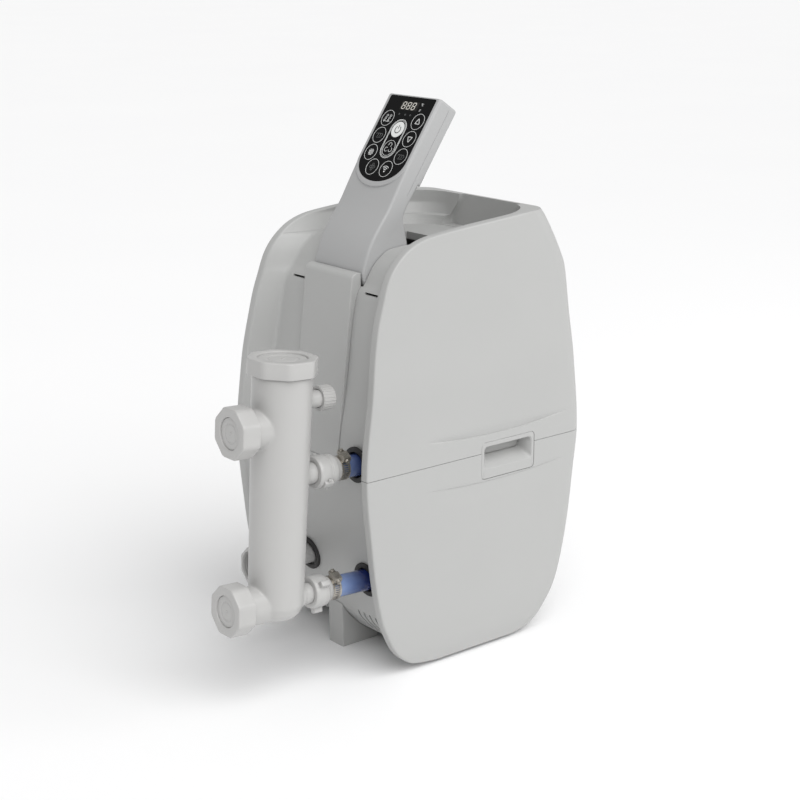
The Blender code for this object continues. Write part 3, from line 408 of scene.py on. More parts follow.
def soften(item, width, segments=3, angle=30, sharp=60):
    bevel = item.modifiers.new("soften", "BEVEL")
    bevel.width, bevel.segments, bevel.limit_method = width, segments, "ANGLE"
    bevel.angle_limit = math.radians(angle)
    bevel.use_clamp_overlap = True
    return settle(item, sharp)


def keep(item, body, slot, *nodes):  # from the drawn place to the frame, then on to its body
    item.data.transform(Matrix.Translation(drawnShift))
    if nodes:
        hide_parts(*nodes)
    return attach(item, body)


def circleRing(radius, height, count):
    turns = [2 * math.pi * i / count for i in range(count)]
    return [(radius * math.cos(turn), radius * math.sin(turn), height) for turn in turns]


def turned(profile, sides, bridge=False):  # profile of (radius, height)
    return ringMesh([circleRing(radius, height, sides) for radius, height in profile], bridge=bridge)


def softSlab(outline, half, radius, steps=4):  # (y, z) outline across x, with its side edges rounded
    count = len(outline)
    normals = []
    for i, here in enumerate(outline):
        a, b = (here - outline[i - 1]).normalized(), (outline[(i + 1) % count] - here).normalized()
        mean = (Vector((-a.y, a.x)) + Vector((-b.y, b.x)))
        normals.append(mean / max(mean.length_squared / 2, 0.3))
    rings = []
    for side in (-1, 1):
        for k in (range(steps + 1) if side < 0 else reversed(range(steps + 1))):
            angle = math.pi / 2 * k / steps
            x, inset = side * (half - radius * (1 - math.cos(angle))), radius * (1 - math.sin(angle))
            rings.append([(x, *(p + n * inset)) for p, n in zip(outline, normals)])
    return ringMesh(rings)


# ---- copies, made by Geometry Nodes

def openTree(name, given):
    tree = bpy.data.node_groups.new(name, "GeometryNodeTree")
    tree.interface.new_socket("Geometry", in_out="OUTPUT", socket_type="NodeSocketGeometry")
    tree.interface.new_socket("Geometry", in_out="INPUT", socket_type="NodeSocketGeometry")
    keys = {n: tree.interface.new_socket(n, in_out="INPUT", socket_type=kind).identifier for n,
            kind in given.items()}
    source = tree.nodes.new("NodeGroupInput")
    nodes = Nodes(tree)
    entry = {n: Wire(nodes, source.outputs[n]) for n in ["Geometry", *given]}
    return nodes, entry, keys


def closeTree(nodes, geometry, entry):
    real = nodes.node("GeometryNodeRealizeInstances", {}, {"Geometry": geometry})
    painted = nodes.node("GeometryNodeSetMaterial", {}, {"Geometry": real, "Material": entry["Material"]})
    nodes.node("NodeGroupOutput", {}, {0: painted}, None)


def runTree(holder, nodes, keys, values, sharp=32):
    modifier = holder.modifiers.new("made", "NODES")
    modifier.node_group = nodes.tree
    for name, value in values.items():
        modifier[keys[name]] = value
    return settle(holder, sharp)


def copiesAt(name, shape, places, material):  # a shape at each of the places
    nodes, entry, keys = openTree(name, {"Shape": "NodeSocketObject", "Size": "NodeSocketFloat",
                                         "Material": "NodeSocketMaterial"})
    model = nodes.node("GeometryNodeObjectInfo", {}, {"Object": entry["Shape"]}, "Geometry")
    points = nodes.node("GeometryNodeMeshToPoints", {}, {"Mesh": entry["Geometry"]})
    copies = nodes.node("GeometryNodeInstanceOnPoints", {}, {"Points": points, "Instance": model,
                                                             "Scale": entry["Size"]})
    closeTree(nodes, copies, entry)
    bm = bmesh.new()
    for place in places:
        bm.verts.new(place)
    holder = runTree(objectFrom(bm, name), nodes, keys, {"Shape": shape, "Size": 1.0, "Material": material})
    discard(shape)
    return holder


def copiesRound(name, shape, count, radius, place, material):  # a shape round an axis, its X outwards
    nodes, entry, keys = openTree(name, {"Shape": "NodeSocketObject", "Count": "NodeSocketInt",
                                         "Radius": "NodeSocketFloat", "Material": "NodeSocketMaterial"})
    circle = nodes.node("GeometryNodeMeshCircle", {}, {"Vertices": entry["Count"],
                                                       "Radius": entry["Radius"]})
    spot = nodes.node("GeometryNodeInputPosition", {}, {})
    turn = nodes.node("FunctionNodeAlignRotationToVector", {"axis": "X", "pivot_axis": "Z"},
                      {"Vector": spot})
    model = nodes.node("GeometryNodeObjectInfo", {}, {"Object": entry["Shape"]}, "Geometry")
    copies = nodes.node("GeometryNodeInstanceOnPoints", {}, {"Points": circle, "Instance": model,
                                                             "Rotation": turn})
    closeTree(nodes, copies, entry)
    holder = runTree(objectFrom(bmesh.new(), name), nodes, keys,
                     {"Shape": shape, "Count": count, "Radius": radius, "Material": material})
    discard(shape)
    holder.data.transform(place)
    return holder


def tubeAlong(name, path, radius, sides, material):  # a round tube through the points of a path
    nodes, entry, keys = openTree(name, {"Radius": "NodeSocketFloat", "Sides": "NodeSocketInt",
                                         "Material": "NodeSocketMaterial"})
    line = nodes.node("GeometryNodeMeshToCurve", {}, {"Mesh": entry["Geometry"]})
    profile = nodes.node("GeometryNodeCurvePrimitiveCircle", {},
                         {"Resolution": entry["Sides"], "Radius": entry["Radius"]})
    tube = nodes.node("GeometryNodeCurveToMesh", {}, {"Curve": line, "Profile Curve": profile,
                                                      "Fill Caps": True})
    closeTree(nodes, tube, entry)
    bm = bmesh.new()
    points = [bm.verts.new(p) for p in path]
    for a, b in zip(points, points[1:]):
        bm.edges.new((a, b))
    return runTree(objectFrom(bm, name), nodes, keys, {"Radius": radius, "Sides": sides,
                                                       "Material": material}, 60)


# ---- housing

housing = {
    "halfWidth": 0.130, "top": 0.5305, "split": 0.2525, "seam": 0.0006, "wall": 0.003,
    "band": 0.0115, "flare": 0.0165, "corner": 0.028, "edge": 0.0026, "innerEdge": 0.0022,
    "shoulder": 0.4962, "wellFloor": 0.490, "wellCorner": 0.050, "rim": 0.5155, "rimWall": 0.0095,
    "ledge": 0.5025, "ledgeDepth": 0.0085, "wellRun": 0.062,
    # (height, y) of the side panels' front edge, the rear wall and the recessed front
    "front": [(0.005, -0.058), (0.007, -0.074), (0.010, -0.087), (0.017, -0.099), (0.030, -0.1135),
              (0.053, -0.1275), (0.075, -0.137), (0.116, -0.146), (0.165, -0.1525), (0.2525, -0.160),
              (0.340, -0.1515), (0.424, -0.1375), (0.451, -0.129), (0.470, -0.1225), (0.481, -0.1165),
              (0.491, -0.1085), (0.500, -0.0985), (0.507, -0.088), (0.5155, -0.065), (0.5305, 0.100)],
    "rear": [(0.005, 0.100), (0.007, 0.110), (0.012, 0.122), (0.019, 0.130), (0.031, 0.139),
             (0.049, 0.150), (0.070, 0.158), (0.101, 0.166), (0.145, 0.174), (0.204, 0.181),
             (0.2525, 0.186), (0.356, 0.176), (0.411, 0.171), (0.459, 0.1655), (0.481, 0.157),
             (0.504, 0.1455), (0.5235, 0.134), (0.5305, 0.1285)],
    "recess": [(0.005, -0.047), (0.0075, -0.053), (0.0125, -0.0625), (0.020, -0.0745),
               (0.028, -0.0845), (0.038, -0.0935), (0.0475, -0.102), (0.0575, -0.108),
               (0.113, -0.121), (0.180, -0.130), (0.2525, -0.135), (0.350, -0.1215),
               (0.440, -0.1085), (0.451, -0.1045), (0.458, -0.0985), (0.4675, -0.0925),
               (0.478, -0.0852), (0.488, -0.0735), (0.4925, -0.0660), (0.4955, -0.0525), (0.4962, -0.0400)],
    # (height, inset) of the side panels
    "sides": [(0.005, 0.008), (0.030, 0.0035), (0.070, 0.0005), (0.150, 0.0), (0.340, 0.0),
              (0.406, 0.0054), (0.459, 0.0086), (0.5155, 0.0125), (0.5305, 0.0135)],
    # (top of a stretch, spacing of its sections), from the floor up
    "spacing": [(0.030, 0.001), (0.190, 0.005), (0.2222, 0.003), (0.2238, 0.0004), (0.2525, 0.004),
                (0.2798, 0.004), (0.2820, 0.0005), (0.2836, 0.0003), (0.440, 0.006), (0.4962, 0.0015),
                (0.5165, 0.00125), (0.5305, 0.0005)],
}
belt = {"centre": 0.038, "half": 0.112, "top": 0.2835, "lens": 0.0015, "arc": 0.0075, "bite": 0.0017,
        "lip": 0.0012, "foot": 0.2235, "footArc": 0.006, "step": 0.0010, "fade": 0.026}

frontEdge, rearWall = smoothCurve(housing["front"]), smoothCurve(housing["rear"])
recessWall, sideInset = smoothCurve(housing["recess"]), smoothCurve(housing["sides"])


def halfWidth(z):
    return housing["halfWidth"] - sideInset(z)


def beltBow(y):  # 1 in the middle of the hand belt, 0 at its two ends
    return max(0.0, 1 - ((y - belt["centre"]) / belt["half"])**2)


def beltLift(level):  # how far a section bends down (or up) to follow the belt's arcs
    lensFoot = belt["top"] - belt["lens"]
    stops = [(0.190, 0.0), (belt["foot"], belt["footArc"]), (housing["split"], 0.0),
             (lensFoot, belt["arc"]),
             (belt["top"], 0.0)]
    return float(np.interp(level, [s[0] for s in stops], [s[1] for s in stops]))


def beltDip(level, y):  # depth of the scoop above the belt and of the step under it
    bow = beltBow(y)
    lensFoot = belt["top"] - belt["lens"]
    scoop = np.interp(level, [lensFoot - belt["lip"], lensFoot, belt["top"]], [0, 1, 0]) * belt["bite"]
    under = np.interp(level, [belt["foot"] - belt["fade"], belt["foot"] - 0.0008, belt["foot"]],
                      [0, 1, 0]) * belt["step"]
    return float(scoop + under) * min(1.0, bow * 1.6)


def sectionLevels(low, high):
    levels, start = [], 0.005
    for top, gap in housing["spacing"]:
        count = max(1, round((top - start) / gap))
        levels += [start + (top - start) * i / count for i in range(count)]
        start = top
    return [low] + [z for z in levels if low + 0.0002 < z < high - 0.0002] + [high]


def wellHalf(z):
    share = min(1.0, (z - housing["wellFloor"]) / (housing["rim"] - housing["wellFloor"]))
    return halfWidth(z) - housing["band"] - housing["flare"] * (1 - share)


def wellPath(z, inset=0.0):  # from the middle of the well's rear wall round to the shoulder
    x = wellHalf(z) - inset
    ledge = housing["ledgeDepth"] * (z < housing["ledge"])
    rear = rearWall(housing["top"]) - housing["rimWall"] - inset - ledge
    radius = housing["wellCorner"]
    path = [Vector(((x - radius) * i / 4, rear)) for i in range(4)]
    for i in range(12):
        angle = math.pi / 2 * (1 - i / 11)
        path.append(Vector((x - radius + radius * math.cos(angle),
                            rear - radius + radius * math.sin(angle))))
    return path, x


def innerPath(z, well):
    front, x = frontEdge(z), halfWidth(z)
    lip = Vector((x - housing["band"], front))
    if not well:
        foot = Vector((lip.x - housing["flare"], recessWall(z)))
        middle = Vector((0, foot.y))
        corner = roundCorner(middle, foot, lip, 0.005, 0.005, 4)
        start = corner[0].x
        return [Vector((start * i / 20, foot.y)) for i in range(20)] + corner, lip
    path, side = wellPath(z)
    start = min(front, -0.060)
    bend = Vector((side, min(start + housing["wellRun"], 0.0)))
    last = path[-1]
    path += [last.lerp(bend, i / 4) for i in (1, 2, 3, 3.4)]
    if (bend - lip).length > 0.02 and bend.x < lip.x - 0.0005:
        path += roundCorner(path[-1], bend, lip, 0.003, 0.012, 4)
    else:
        path += [path[-1].lerp(bend, i / 5) for i in range(1, 6)]
    edge = lip.copy()
    for point in path:
        if point.y < front:  # the rim's top runs out over the rounded corner
            radius = housing["wellCorner"]
            angle = math.asin(min(1, max(0, (front - (path[4].y - radius)) / radius)))
            meet = side - radius * (1 - math.cos(angle))
            point.x, point.y = meet, front
            edge.x = min(edge.x, meet)
    return path, edge


def halfRing(z, well):
    x, front, rear = halfWidth(z), frontEdge(z), rearWall(z)
    path, lip = innerPath(z, well)
    slope = (frontEdge(z + 0.0005) - frontEdge(z - 0.0005)) / 0.001
    stretch = math.hypot(1, slope)
    outer, edge, inner = Vector((x, front)), housing["edge"], housing["innerEdge"]
    radius = housing["corner"]
    sideStart = min(edge * stretch, 0.040, 0.9 * max(rear - radius - front, 0.0))
    before = path[-1] if (path[-1] - lip).length > 1e-5 else lip + Vector((0, 0.01))
    reachLimit = 0.4 * (before - lip).length if before is path[-1] else 0.02
    innerReach = min(inner * stretch, reachLimit)
    if before is not path[-1]:
        innerReach = 0.0
    path = path + roundCorner(before, lip, outer, innerReach, inner, 4)
    path += roundCorner(lip, outer, Vector((x, rear)), edge, sideStart, 5)
    first, last = front + sideStart, rear - radius
    path += [Vector((x, first + (last - first) * i / 46)) for i in range(1, 46)]
    for i in range(10):
        angle = math.pi / 2 * i / 9
        path.append(Vector((x - radius + radius * math.cos(angle), last + radius * math.sin(angle))))
    path += [Vector(((x - radius) * (1 - i / 5), rear)) for i in range(1, 5)]
    return path


def bodyRing(level, well=False):
    half, lift = halfRing(level, well), beltLift(level)
    ring = []
    for side in (1, -1):
        points = half if side > 0 else list(reversed(half))
        for p in points:
            onSide = p.x > housing["halfWidth"] - 0.004 and p.y > frontEdge(level) + 0.004
            bow = beltBow(p.y) if onSide else 0.0
            x = p.x - (beltDip(level, p.y) if onSide else 0.0)
            ring.append((side * x, p.y, level - lift * bow))
    return ring


def insideRing(z):  # the hollow, one wall in from the outside
    wall, x = housing["wall"], halfWidth(z)
    front, floor, rear = frontEdge(z), recessWall(z) + wall, rearWall(z) - wall
    radius = housing["corner"] - wall
    half = [Vector((x - housing["band"] - housing["flare"] + 0.002, floor)),
            Vector((x - housing["band"] + wall * 0.8, front + wall + 0.001)),
            Vector((x - wall, front + wall + 0.001))]
    for i in range(7):
        angle = math.pi / 2 * i / 6
        half.append(Vector((x - wall - radius + radius * math.cos(angle),
                            rear - radius + radius * math.sin(angle))))
    return [(p.x, p.y, z) for p in half] + [(-p.x, p.y, z) for p in reversed(half)]


holes = {  # x, height, whether the hole looks straight ahead
    "upperHose": (0.080, 0.2572, True), "lowerHose": (0.080, 0.1129, False),
    "return": (-0.034, 0.1135, False)}
openings = {
    "holeRadius": 0.0175, "slotHalf": 0.0485, "slotFront": -0.1007, "slotRear": 0.045, "slotFoot": 0.425,
    "slit": ((0.0572, 0.4485), (0.0810, 0.4511)), "bayFront": 0.09, "bayWall": 0.0045,
    "bayRight": 0.071,
    # (height, how far the bay reaches to the left)
    "bay": [(0.4905, 0.056), (0.496, 0.0558), (0.501, 0.054), (0.506, 0.0505), (0.511, 0.0460),
            (0.516, 0.0420),
            (0.521, 0.0390), (0.526, 0.0370), (0.5305, 0.0360), (0.56, 0.0355)],
    "grip": ((0.012, 0.220), (0.097, 0.265)), "gripDepth": 0.026, "gripCorner": 0.006,
    "ventFirst": 0.046, "ventGap": 0.011, "ventCount": 4, "ventWidth": 0.0032,
    "gland": (-0.070, 0.070, 0.0082),
}


def along(direction, origin):
    z = Vector(direction).normalized()
    y = z.cross(Vector((1, 0, 0)) if abs(z.x) < 0.9 else Vector((0, 1, 0))).normalized()
    return Matrix.Translation(Vector(origin)) @ Matrix((y.cross(z), y, z)).transposed().to_4x4()


def holePlace(x, z, straight):
    step = 0.012
    slope = (recessWall(z + step) - recessWall(z - step)) / (2 * step)
    normal = (0, -1, 0) if straight else (0, -1, slope)
    return along(normal, (x, recessWall(housing["split"] if straight else z) - 0.0003 * straight, z))


def slabX(outline, low, high):
    return ringMesh([[(x, *p) for p in outline] for x in (low, high)])


def slabZ(outline, low, high):
    return ringMesh([[(*p, z) for p in outline] for z in (low, high)])


def makeHousing():
    gap = housing["seam"] / 2
    split, top = housing["split"], housing["top"]
    lowRings = [bodyRing(z) for z in sectionLevels(0.005, split - gap)]
    shoulder = housing["shoulder"]
    highRings = [bodyRing(z) for z in sectionLevels(split + gap, shoulder)]
    highRings += [bodyRing(z, True) for z in sectionLevels(shoulder, top)]
    lower = objectFrom(ringMesh(lowRings), "lowerShell", look["housingGrey"])
    upper = objectFrom(ringMesh(highRings), "upperShell", look["housingGrey"])

    hollowLow = objectFrom(ringMesh([insideRing(z) for z in (0.0095, 0.014, 0.020, 0.028, 0.038, 0.053,
                                                             0.070,
                                                            0.101, 0.150, 0.204, split + 0.01)]),
                           "hollowLow")
    hollowHigh = objectFrom(ringMesh([insideRing(z) for z in (split - 0.01, 0.300, 0.340, 0.385, 0.424,
                                                              0.442,
                                                             0.451, 0.459, 0.470, 0.481)]), "hollowHigh")
    lowTools, highTools = [hollowLow], [hollowHigh]

    floorRings = []
    for z in (housing["wellFloor"], shoulder + 0.001):
        path, side = wellPath(z, 0.0005)
        half = path + [Vector((side, -0.022))]
        floorRings.append([(p.x, p.y, z) for p in half] + [(-p.x, p.y, z) for p in reversed(half[1:])])
    highTools.append(objectFrom(ringMesh(floorRings), "wellFloorTool"))
    highTools.append(objectFrom(slabZ([Vector((sx * openings["slotHalf"], y)) for sx, y in (
        (-1, openings["slotFront"]), (1, openings["slotFront"]), (1, openings["slotRear"]),
        (-1, openings["slotRear"]))],
        openings["slotFoot"], 0.56), "slotTool"))
    bayRings = []
    for z, left in openings["bay"]:
        rear, right = rearWall(housing["top"]) - openings["bayWall"], openings["bayRight"]
        ring = roundedPath([(-left, openings["bayFront"]), (right, openings["bayFront"]),
                            (right, rear, 0.003),
                            (-left, rear, 0.006)], True, 6)
        bayRings.append([(p.x, p.y, z) for p in ring])
    highTools.append(objectFrom(ringMesh(bayRings), "bayTool"))

    (y0, z0), (y1, z1) = openings["grip"]
    gripOutline = roundedBox((y0 - 0.0004, z0 - 0.0004), (y1 + 0.0004, z1 + 0.0004), openings["gripCorner"])
    for side in (-1, 1):
        low, high = sorted((side * (housing["halfWidth"] - openings["gripDepth"]), side * 0.15))
        for tools in (lowTools, highTools):
            tools.append(objectFrom(slabX(gripOutline, low, high), "gripTool"))
        (xa, za), (xb, zb) = openings["slit"]
        slit = roundedBox((xa, za), (xb, zb), 0.0012)
        rings = [[(side * p.x, y, p.y) for p in slit] for y in (-0.125, -0.088)]
        highTools.append(objectFrom(ringMesh(rings), "slitTool"))
        ventShape = roundedBox((-openings["ventWidth"] / 2, 0.030), (openings["ventWidth"] / 2, 0.060),
                               0.0015)
        vent = objectFrom(ringMesh([[(p.x, y, p.y) for p in ventShape] for y in (-0.1125, -0.078)]),
                          "ventShape")
        start = side * openings["ventFirst"]
        places = [(start + side * openings["ventGap"] * i, 0, 0) for i in range(openings["ventCount"])]
        lowTools.append(copiesAt("ventTool", vent, places, look["housingGrey"]))
    for x, z, straight in holes.values():
        for tools in ((lowTools, highTools) if straight else (lowTools,)):
            radius = openings["holeRadius"]
            tools.append(objectFrom(turned([(radius, -0.02), (radius, 0.02)], 48), "holeTool",
                                    place=holePlace(x, z, straight)))
    x, z, radius = openings["gland"]
    lowTools.append(objectFrom(turned([(radius, -0.02), (radius, 0.02)], 32), "glandTool",
                               place=along((0, 1, 0), (x, rearWall(z), z))))
    combine(lower, lowTools, "DIFFERENCE")
    combine(upper, highTools, "DIFFERENCE")
    keep(lower, "housing", "housing_grey", "lower_housing")
    keep(upper, "housing", "housing_grey", "upper_housing")
    print("housing:", len(lower.data.polygons), "and", len(upper.data.polygons), "faces")


makeHousing()


# ---- column, front foot and grips

column = {"half": 0.0452, "top": 0.471, "topRound": 0.007, "edge": 0.0022, "gap": 0.0003, "neck": 0.4555,
          "back": -0.1013,
          "front": [(0.200, -0.1306), (0.2525, -0.1368), (0.300, -0.1318), (0.350, -0.1265),
                    (0.440, -0.1168),
                    (0.471, -0.1135)]}
columnFront = smoothCurve(column["front"])


def columnRings(levels, backOf):
    rings, edge = [], column["edge"]
    for z in levels:
        front, over = columnFront(z), z - (column["top"] - column["topRound"])
        if over > 0:
            front += column["topRound"] - math.sqrt(max(0, column["topRound"]**2 - over**2))
        back, half = backOf(z), column["half"]
        reach = min(edge, 0.45 * (back - front))
        corners = [Vector((-half, back)), Vector((-half, front)), Vector((half, front)),
                   Vector((half, back))]
        left = roundCorner(corners[0], corners[1], corners[2], reach, edge, 4)
        right = roundCorner(corners[1], corners[2], corners[3], edge, reach, 4)
        rings.append([(p.x, p.y, z) for p in [corners[0], *left, *right, corners[3]]])
    return rings


def makeColumn():
    gap, split = column["gap"], housing["split"]

    def back(z):
        return recessWall(z) - gap if z < column["neck"] else column["back"]

    levels = [split + gap + (column["neck"] - split - gap) * i / 50 for i in range(51)]
    rise = column["top"] - column["neck"]
    levels += [column["neck"] + rise * math.sin(math.pi / 2 * i / 14) for i in range(1, 15)]
    cover = objectFrom(ringMesh(columnRings(levels, back)), "frontColumn", look["housingGrey"], sharp=40)
    keep(cover, "housing", "housing_grey", "front_column")
    levels = [0.202 + (split - gap - 0.202) * i / 16 for i in range(17)]
    foot = objectFrom(ringMesh(columnRings(levels, lambda z: recessWall(z) + 0.002)), "columnFoot",
                      look["housingGrey"], sharp=40)
    keep(foot, "housing", "housing_grey")


def makeFrontFoot():
    levels = (0.0075, 0.0125, 0.020, 0.028, 0.038, 0.0475, 0.0575)
    under = [Vector((recessWall(z) - 0.0003, z - 0.0003)) for z in levels]
    outline = under + [Vector((-0.1075, 0.0)), Vector((under[0].x, 0.0))]
    foot = objectFrom(softSlab(outline, 0.014, 0.0012), "frontFoot", look["housingGrey"])
    keep(foot, "housing", "housing_grey", "front_foot")


grip = {"depth": 0.024, "wall": 0.003, "corner": 0.0056, "lip": 0.0010,
        "rims": (0.0040, 0.0040, 0.0115, 0.0048),
        "slope": (0.005, 0.012, 0.001)}


def makeGrip(side, name):
    (y0, z0), (y1, z1) = openings["grip"]
    front, rear, below, above = grip["rims"]
    half = housing["halfWidth"]
    outer = roundedBox((y0, z0), (y1, z1), grip["corner"], 6)
    chamfer = roundedBox((y0 + 0.0007, z0 + 0.0007), (y1 - 0.0007, z1 - 0.0007), grip["corner"], 6)
    lipBox = ((y0 + front, z0 + below), (y1 - rear, z1 - above))
    lip = grip["lip"]
    mouth = roundedBox(*lipBox, grip["corner"], 6)
    throat = roundedBox((lipBox[0][0] + lip, lipBox[0][1] + lip), (lipBox[1][0] - lip, lipBox[1][1] - lip),
                        grip["corner"], 6)
    inY, inLow, inHigh = grip["slope"]
    floor = roundedBox((lipBox[0][0] + inY, lipBox[0][1] + inLow),
                       (lipBox[1][0] - inY, lipBox[1][1] - inHigh - lip),
                       grip["corner"], 6)
    base = half - grip["depth"]
    stations = [(base, outer), (half - 0.0006, outer), (half, chamfer), (half, mouth), (half - lip, throat),
                (base + grip["wall"] + 0.003, floor), (base + grip["wall"], floor)]
    cup = objectFrom(ringMesh([[(side * x, *p) for p in path] for x, path in stations]), name,
                     look["housingGrey"])
    keep(cup, "housing", "housing_grey", "side_grip_left" if side > 0 else "side_grip_right")


makeColumn()
makeFrontFoot()
makeGrip(1, "gripLeft")
makeGrip(-1, "gripRight")
print("column, foot and grips made")


# ---- control stalk

stalk = {
    "half": 0.047, "edge": 0.0034, "lean": 34.0, "tip": (0.0164, 0.6613), "depth": 0.031,
    "pivot": (-0.066, 0.4700),
    "footRadius": 0.0335, "raised": 0.0012,
    "front": [(-0.0345, 0.5870), (-0.0490, 0.5630), (-0.0620, 0.5410), (-0.0740, 0.5245), (-0.0850, 0.5090),
              (-0.0930, 0.4935), (-0.0980, 0.4790), (-0.0995, 0.4700)],
    "rear": [(-0.0330, 0.4985), (-0.0367, 0.5160), (-0.0367, 0.5330), (-0.0127, 0.5685)],
    "endRound": 0.0042, "gap": 0.0003,
    "over": 0.01,  # how far a cutter runs past the surface it cuts
    # start, end and depth of the step across the back
    "step": (0.0237, 0.0875, 0.0016),
    "coverHalf": 0.0442, "coverTop": 0.004, "coverFoot": 0.106, "coverRound": 0.003, "coverSunk": 0.0018,
    "coverThick": 0.0020, "coverBreak": 0.0004, "cavityFloor": 0.0055,
    # joint line along each side: start, end, depth behind the front, width, how deep it is cut
    "seam": (0.006, 0.118, 0.0185, 0.0005, 0.0004),
    # notch in the middle of the top edge: half width, reach, depth
    "topNotch": (0.0006, 0.0022, 0.0008),
}
panel = {
    "half": 0.0415, "top": 0.0030, "end": 0.1145, "round": 0.030, "thick": 0.0012, "gap": 0.0003,
    "corner": 0.003, "rimEnd": 0.0065, "rimHalf": 0.0458, "rimTop": 0.0012,
    "ink": 0.00012, "root": 0.00025, "line": 0.00042,  # a print's height, its depth in the film, its width
    "window": (-0.016, 0.0085, 0.016, 0.0210),
    "keyRadius": 0.0102, "keyColumn": 0.0277, "keyRows": (0.0334, 0.0563, 0.0792),
    "lowKeys": (0.0127, 0.0973),
    "power": 0.0463, "fan": 0.0708, "pillHalf": 0.0132,
}


def headPoint(x, down, depth):
    lean = math.radians(stalk["lean"])
    y, z = stalk["tip"]
    return (x, y - down * math.sin(lean) + depth * math.cos(lean),
            z - down * math.cos(lean) - depth * math.sin(lean))


def headPair(down, depth):
    return headPoint(0, down, depth)[1:]


def onHead(outline, stations, bridge=False):  # (x, down) outline at stations of (depth, inset)
    middle = sum((Vector(p) for p in outline), Vector((0, 0))) / len(outline)
    rings = []
    for depth, inset in stations:
        ring = []
        for i, p in enumerate(outline):
            a, b = Vector(outline[i - 1]), Vector(outline[(i + 1) % len(outline)])
            side = Vector((-(b - a).y, (b - a).x)).normalized()
            if side.dot(middle - Vector(p)) < 0:
                side = -side
            q = Vector(p) + side * inset
            ring.append(headPoint(q.x, q.y, depth))
        rings.append(ring)
    return ringMesh(rings, bridge=bridge)


def filmOutline(grow, half=None, top=None):
    half = panel["half"] + grow if half is None else half
    top = panel["top"] - grow if top is None else top
    end = panel["end"] + grow
    straight = end - panel["round"] - grow
    points = roundedPath([(-half, straight), (-half, top, panel["corner"]), (half, top, panel["corner"]),
                         (half, straight)], False, 4)
    for i in range(1, 40):
        angle = math.pi * i / 40
        points.append(Vector((half * math.cos(angle), straight + (end - straight) * math.sin(angle)**0.92)))
    return points


def stalkOutline():
    depth, raised = stalk["depth"], stalk["raised"]
    lean = math.radians(stalk["lean"])
    back = Vector((math.cos(lean), -math.sin(lean)))
    pivot, radius = Vector(stalk["pivot"]), stalk["footRadius"]
    ends = stalk["endRound"]
    head = roundedPath([headPair(0.1, depth), (*headPair(0, depth), ends), (*headPair(0, raised), ends),
                        headPair(0.05, raised)])
    front = [Vector(p) + back * raised for p in stalk["front"][:-1]] + [Vector(stalk["front"][-1])]
    front = smoothPath(front, 5)
    turns = [math.pi * (1 + i / 16) for i in range(1, 17)]
    foot = [pivot + radius * Vector((math.cos(turn), math.sin(turn))) for turn in turns]
    rear = smoothPath([Vector(p) for p in stalk["rear"]], 6)
    return head[1:] + front + foot + rear[:-1] + [head[0]]


def makeStalk():
    shell = softSlab(stalkOutline(), stalk["half"], stalk["edge"], 5)
    shell = objectFrom(shell, "stalkShell", look["stalkGrey"])
    rim = filmOutline(panel["rimEnd"], panel["rimHalf"], panel["rimTop"])
    pad = onHead(rim, [(0.004, -0.0004), (0.0012, -0.0002), (0.0006, 0.0), (0.00015, 0.0005),
                       (0.0, 0.0011)])
    combine(shell, [objectFrom(pad, "rimTool")], "UNION")

    half, top, foot = stalk["coverHalf"], stalk["coverTop"], stalk["coverFoot"]
    depth, over, gap = stalk["depth"], stalk["over"], stalk["gap"]
    cavity = roundedBox((-half, top), (half, foot), stalk["coverRound"])
    notchHalf, notchEnd, notchDepth = stalk["topNotch"]
    topNotch = roundedBox((-notchHalf, -over), (notchHalf, notchEnd), 0.0002)
    seat = [(-over, 0), (panel["thick"] + 0.0002, 0)]
    tools = [objectFrom(onHead(filmOutline(panel["gap"]), seat), "seatTool"),
             objectFrom(onHead(cavity, [(stalk["cavityFloor"], 0), (depth + over, 0)]), "cavityTool"),
             objectFrom(onHead(topNotch, [(-over, 0), (notchDepth, 0)]), "notchTool")]
    start, end, sunk = stalk["step"]
    slope = 0.0004
    step = [headPair(start, depth + over), headPair(start + slope, depth - sunk),
            headPair(end - slope, depth - sunk), headPair(end, depth + over)]
    tools.append(objectFrom(slabX([Vector(p) for p in step], -0.06, 0.06), "stepTool"))
    start, end, level, width, cut = stalk["seam"]
    seam = [headPair(start, level), headPair(end, level), headPair(end, level + width),
            headPair(start, level + width)]
    for side in (-1, 1):
        low, high = sorted((side * (stalk["half"] - cut), side * (stalk["half"] + over)))
        tools.append(objectFrom(slabX([Vector(p) for p in seam], low, high), "seamTool"))
    combine(shell, tools, "DIFFERENCE")
    keep(shell, "stalk", "housing_grey", "stalk_shell")

    cover = roundedBox((-half + gap, top + gap), (half - gap, foot - gap), stalk["coverRound"] - 0.0002)
    depth, edge = depth - stalk["coverSunk"], stalk["coverBreak"]
    back = onHead(cover, [(depth - stalk["coverThick"], 0), (depth - edge, 0), (depth, edge)])
    back = objectFrom(back, "stalkBack", look["stalkGrey"])
    keep(back, "stalk", "housing_grey", "stalk_back_cover")


def ribbon(path, width, closed=False, depth=None):  # a printed line on the film
    depth = -panel["ink"] if depth is None else depth
    count, rings = len(path), []
    for i, p in enumerate(path):
        a = Vector(path[i - 1]) if closed or i else Vector(p)
        b = Vector(path[(i + 1) % count]) if closed or i < count - 1 else Vector(p)
        side = Vector((-(b - a).y, (b - a).x)).normalized() * width / 2
        left, right = Vector(p) + side, Vector(p) - side
        rings.append([headPoint(*left, panel["root"]), headPoint(*right, panel["root"]),
                      headPoint(*right, depth), headPoint(*left, depth)])
    return ringMesh(rings, bridge=closed)


def patch(outline):
    return onHead(outline, [(panel["root"], 0), (-panel["ink"], 0)])


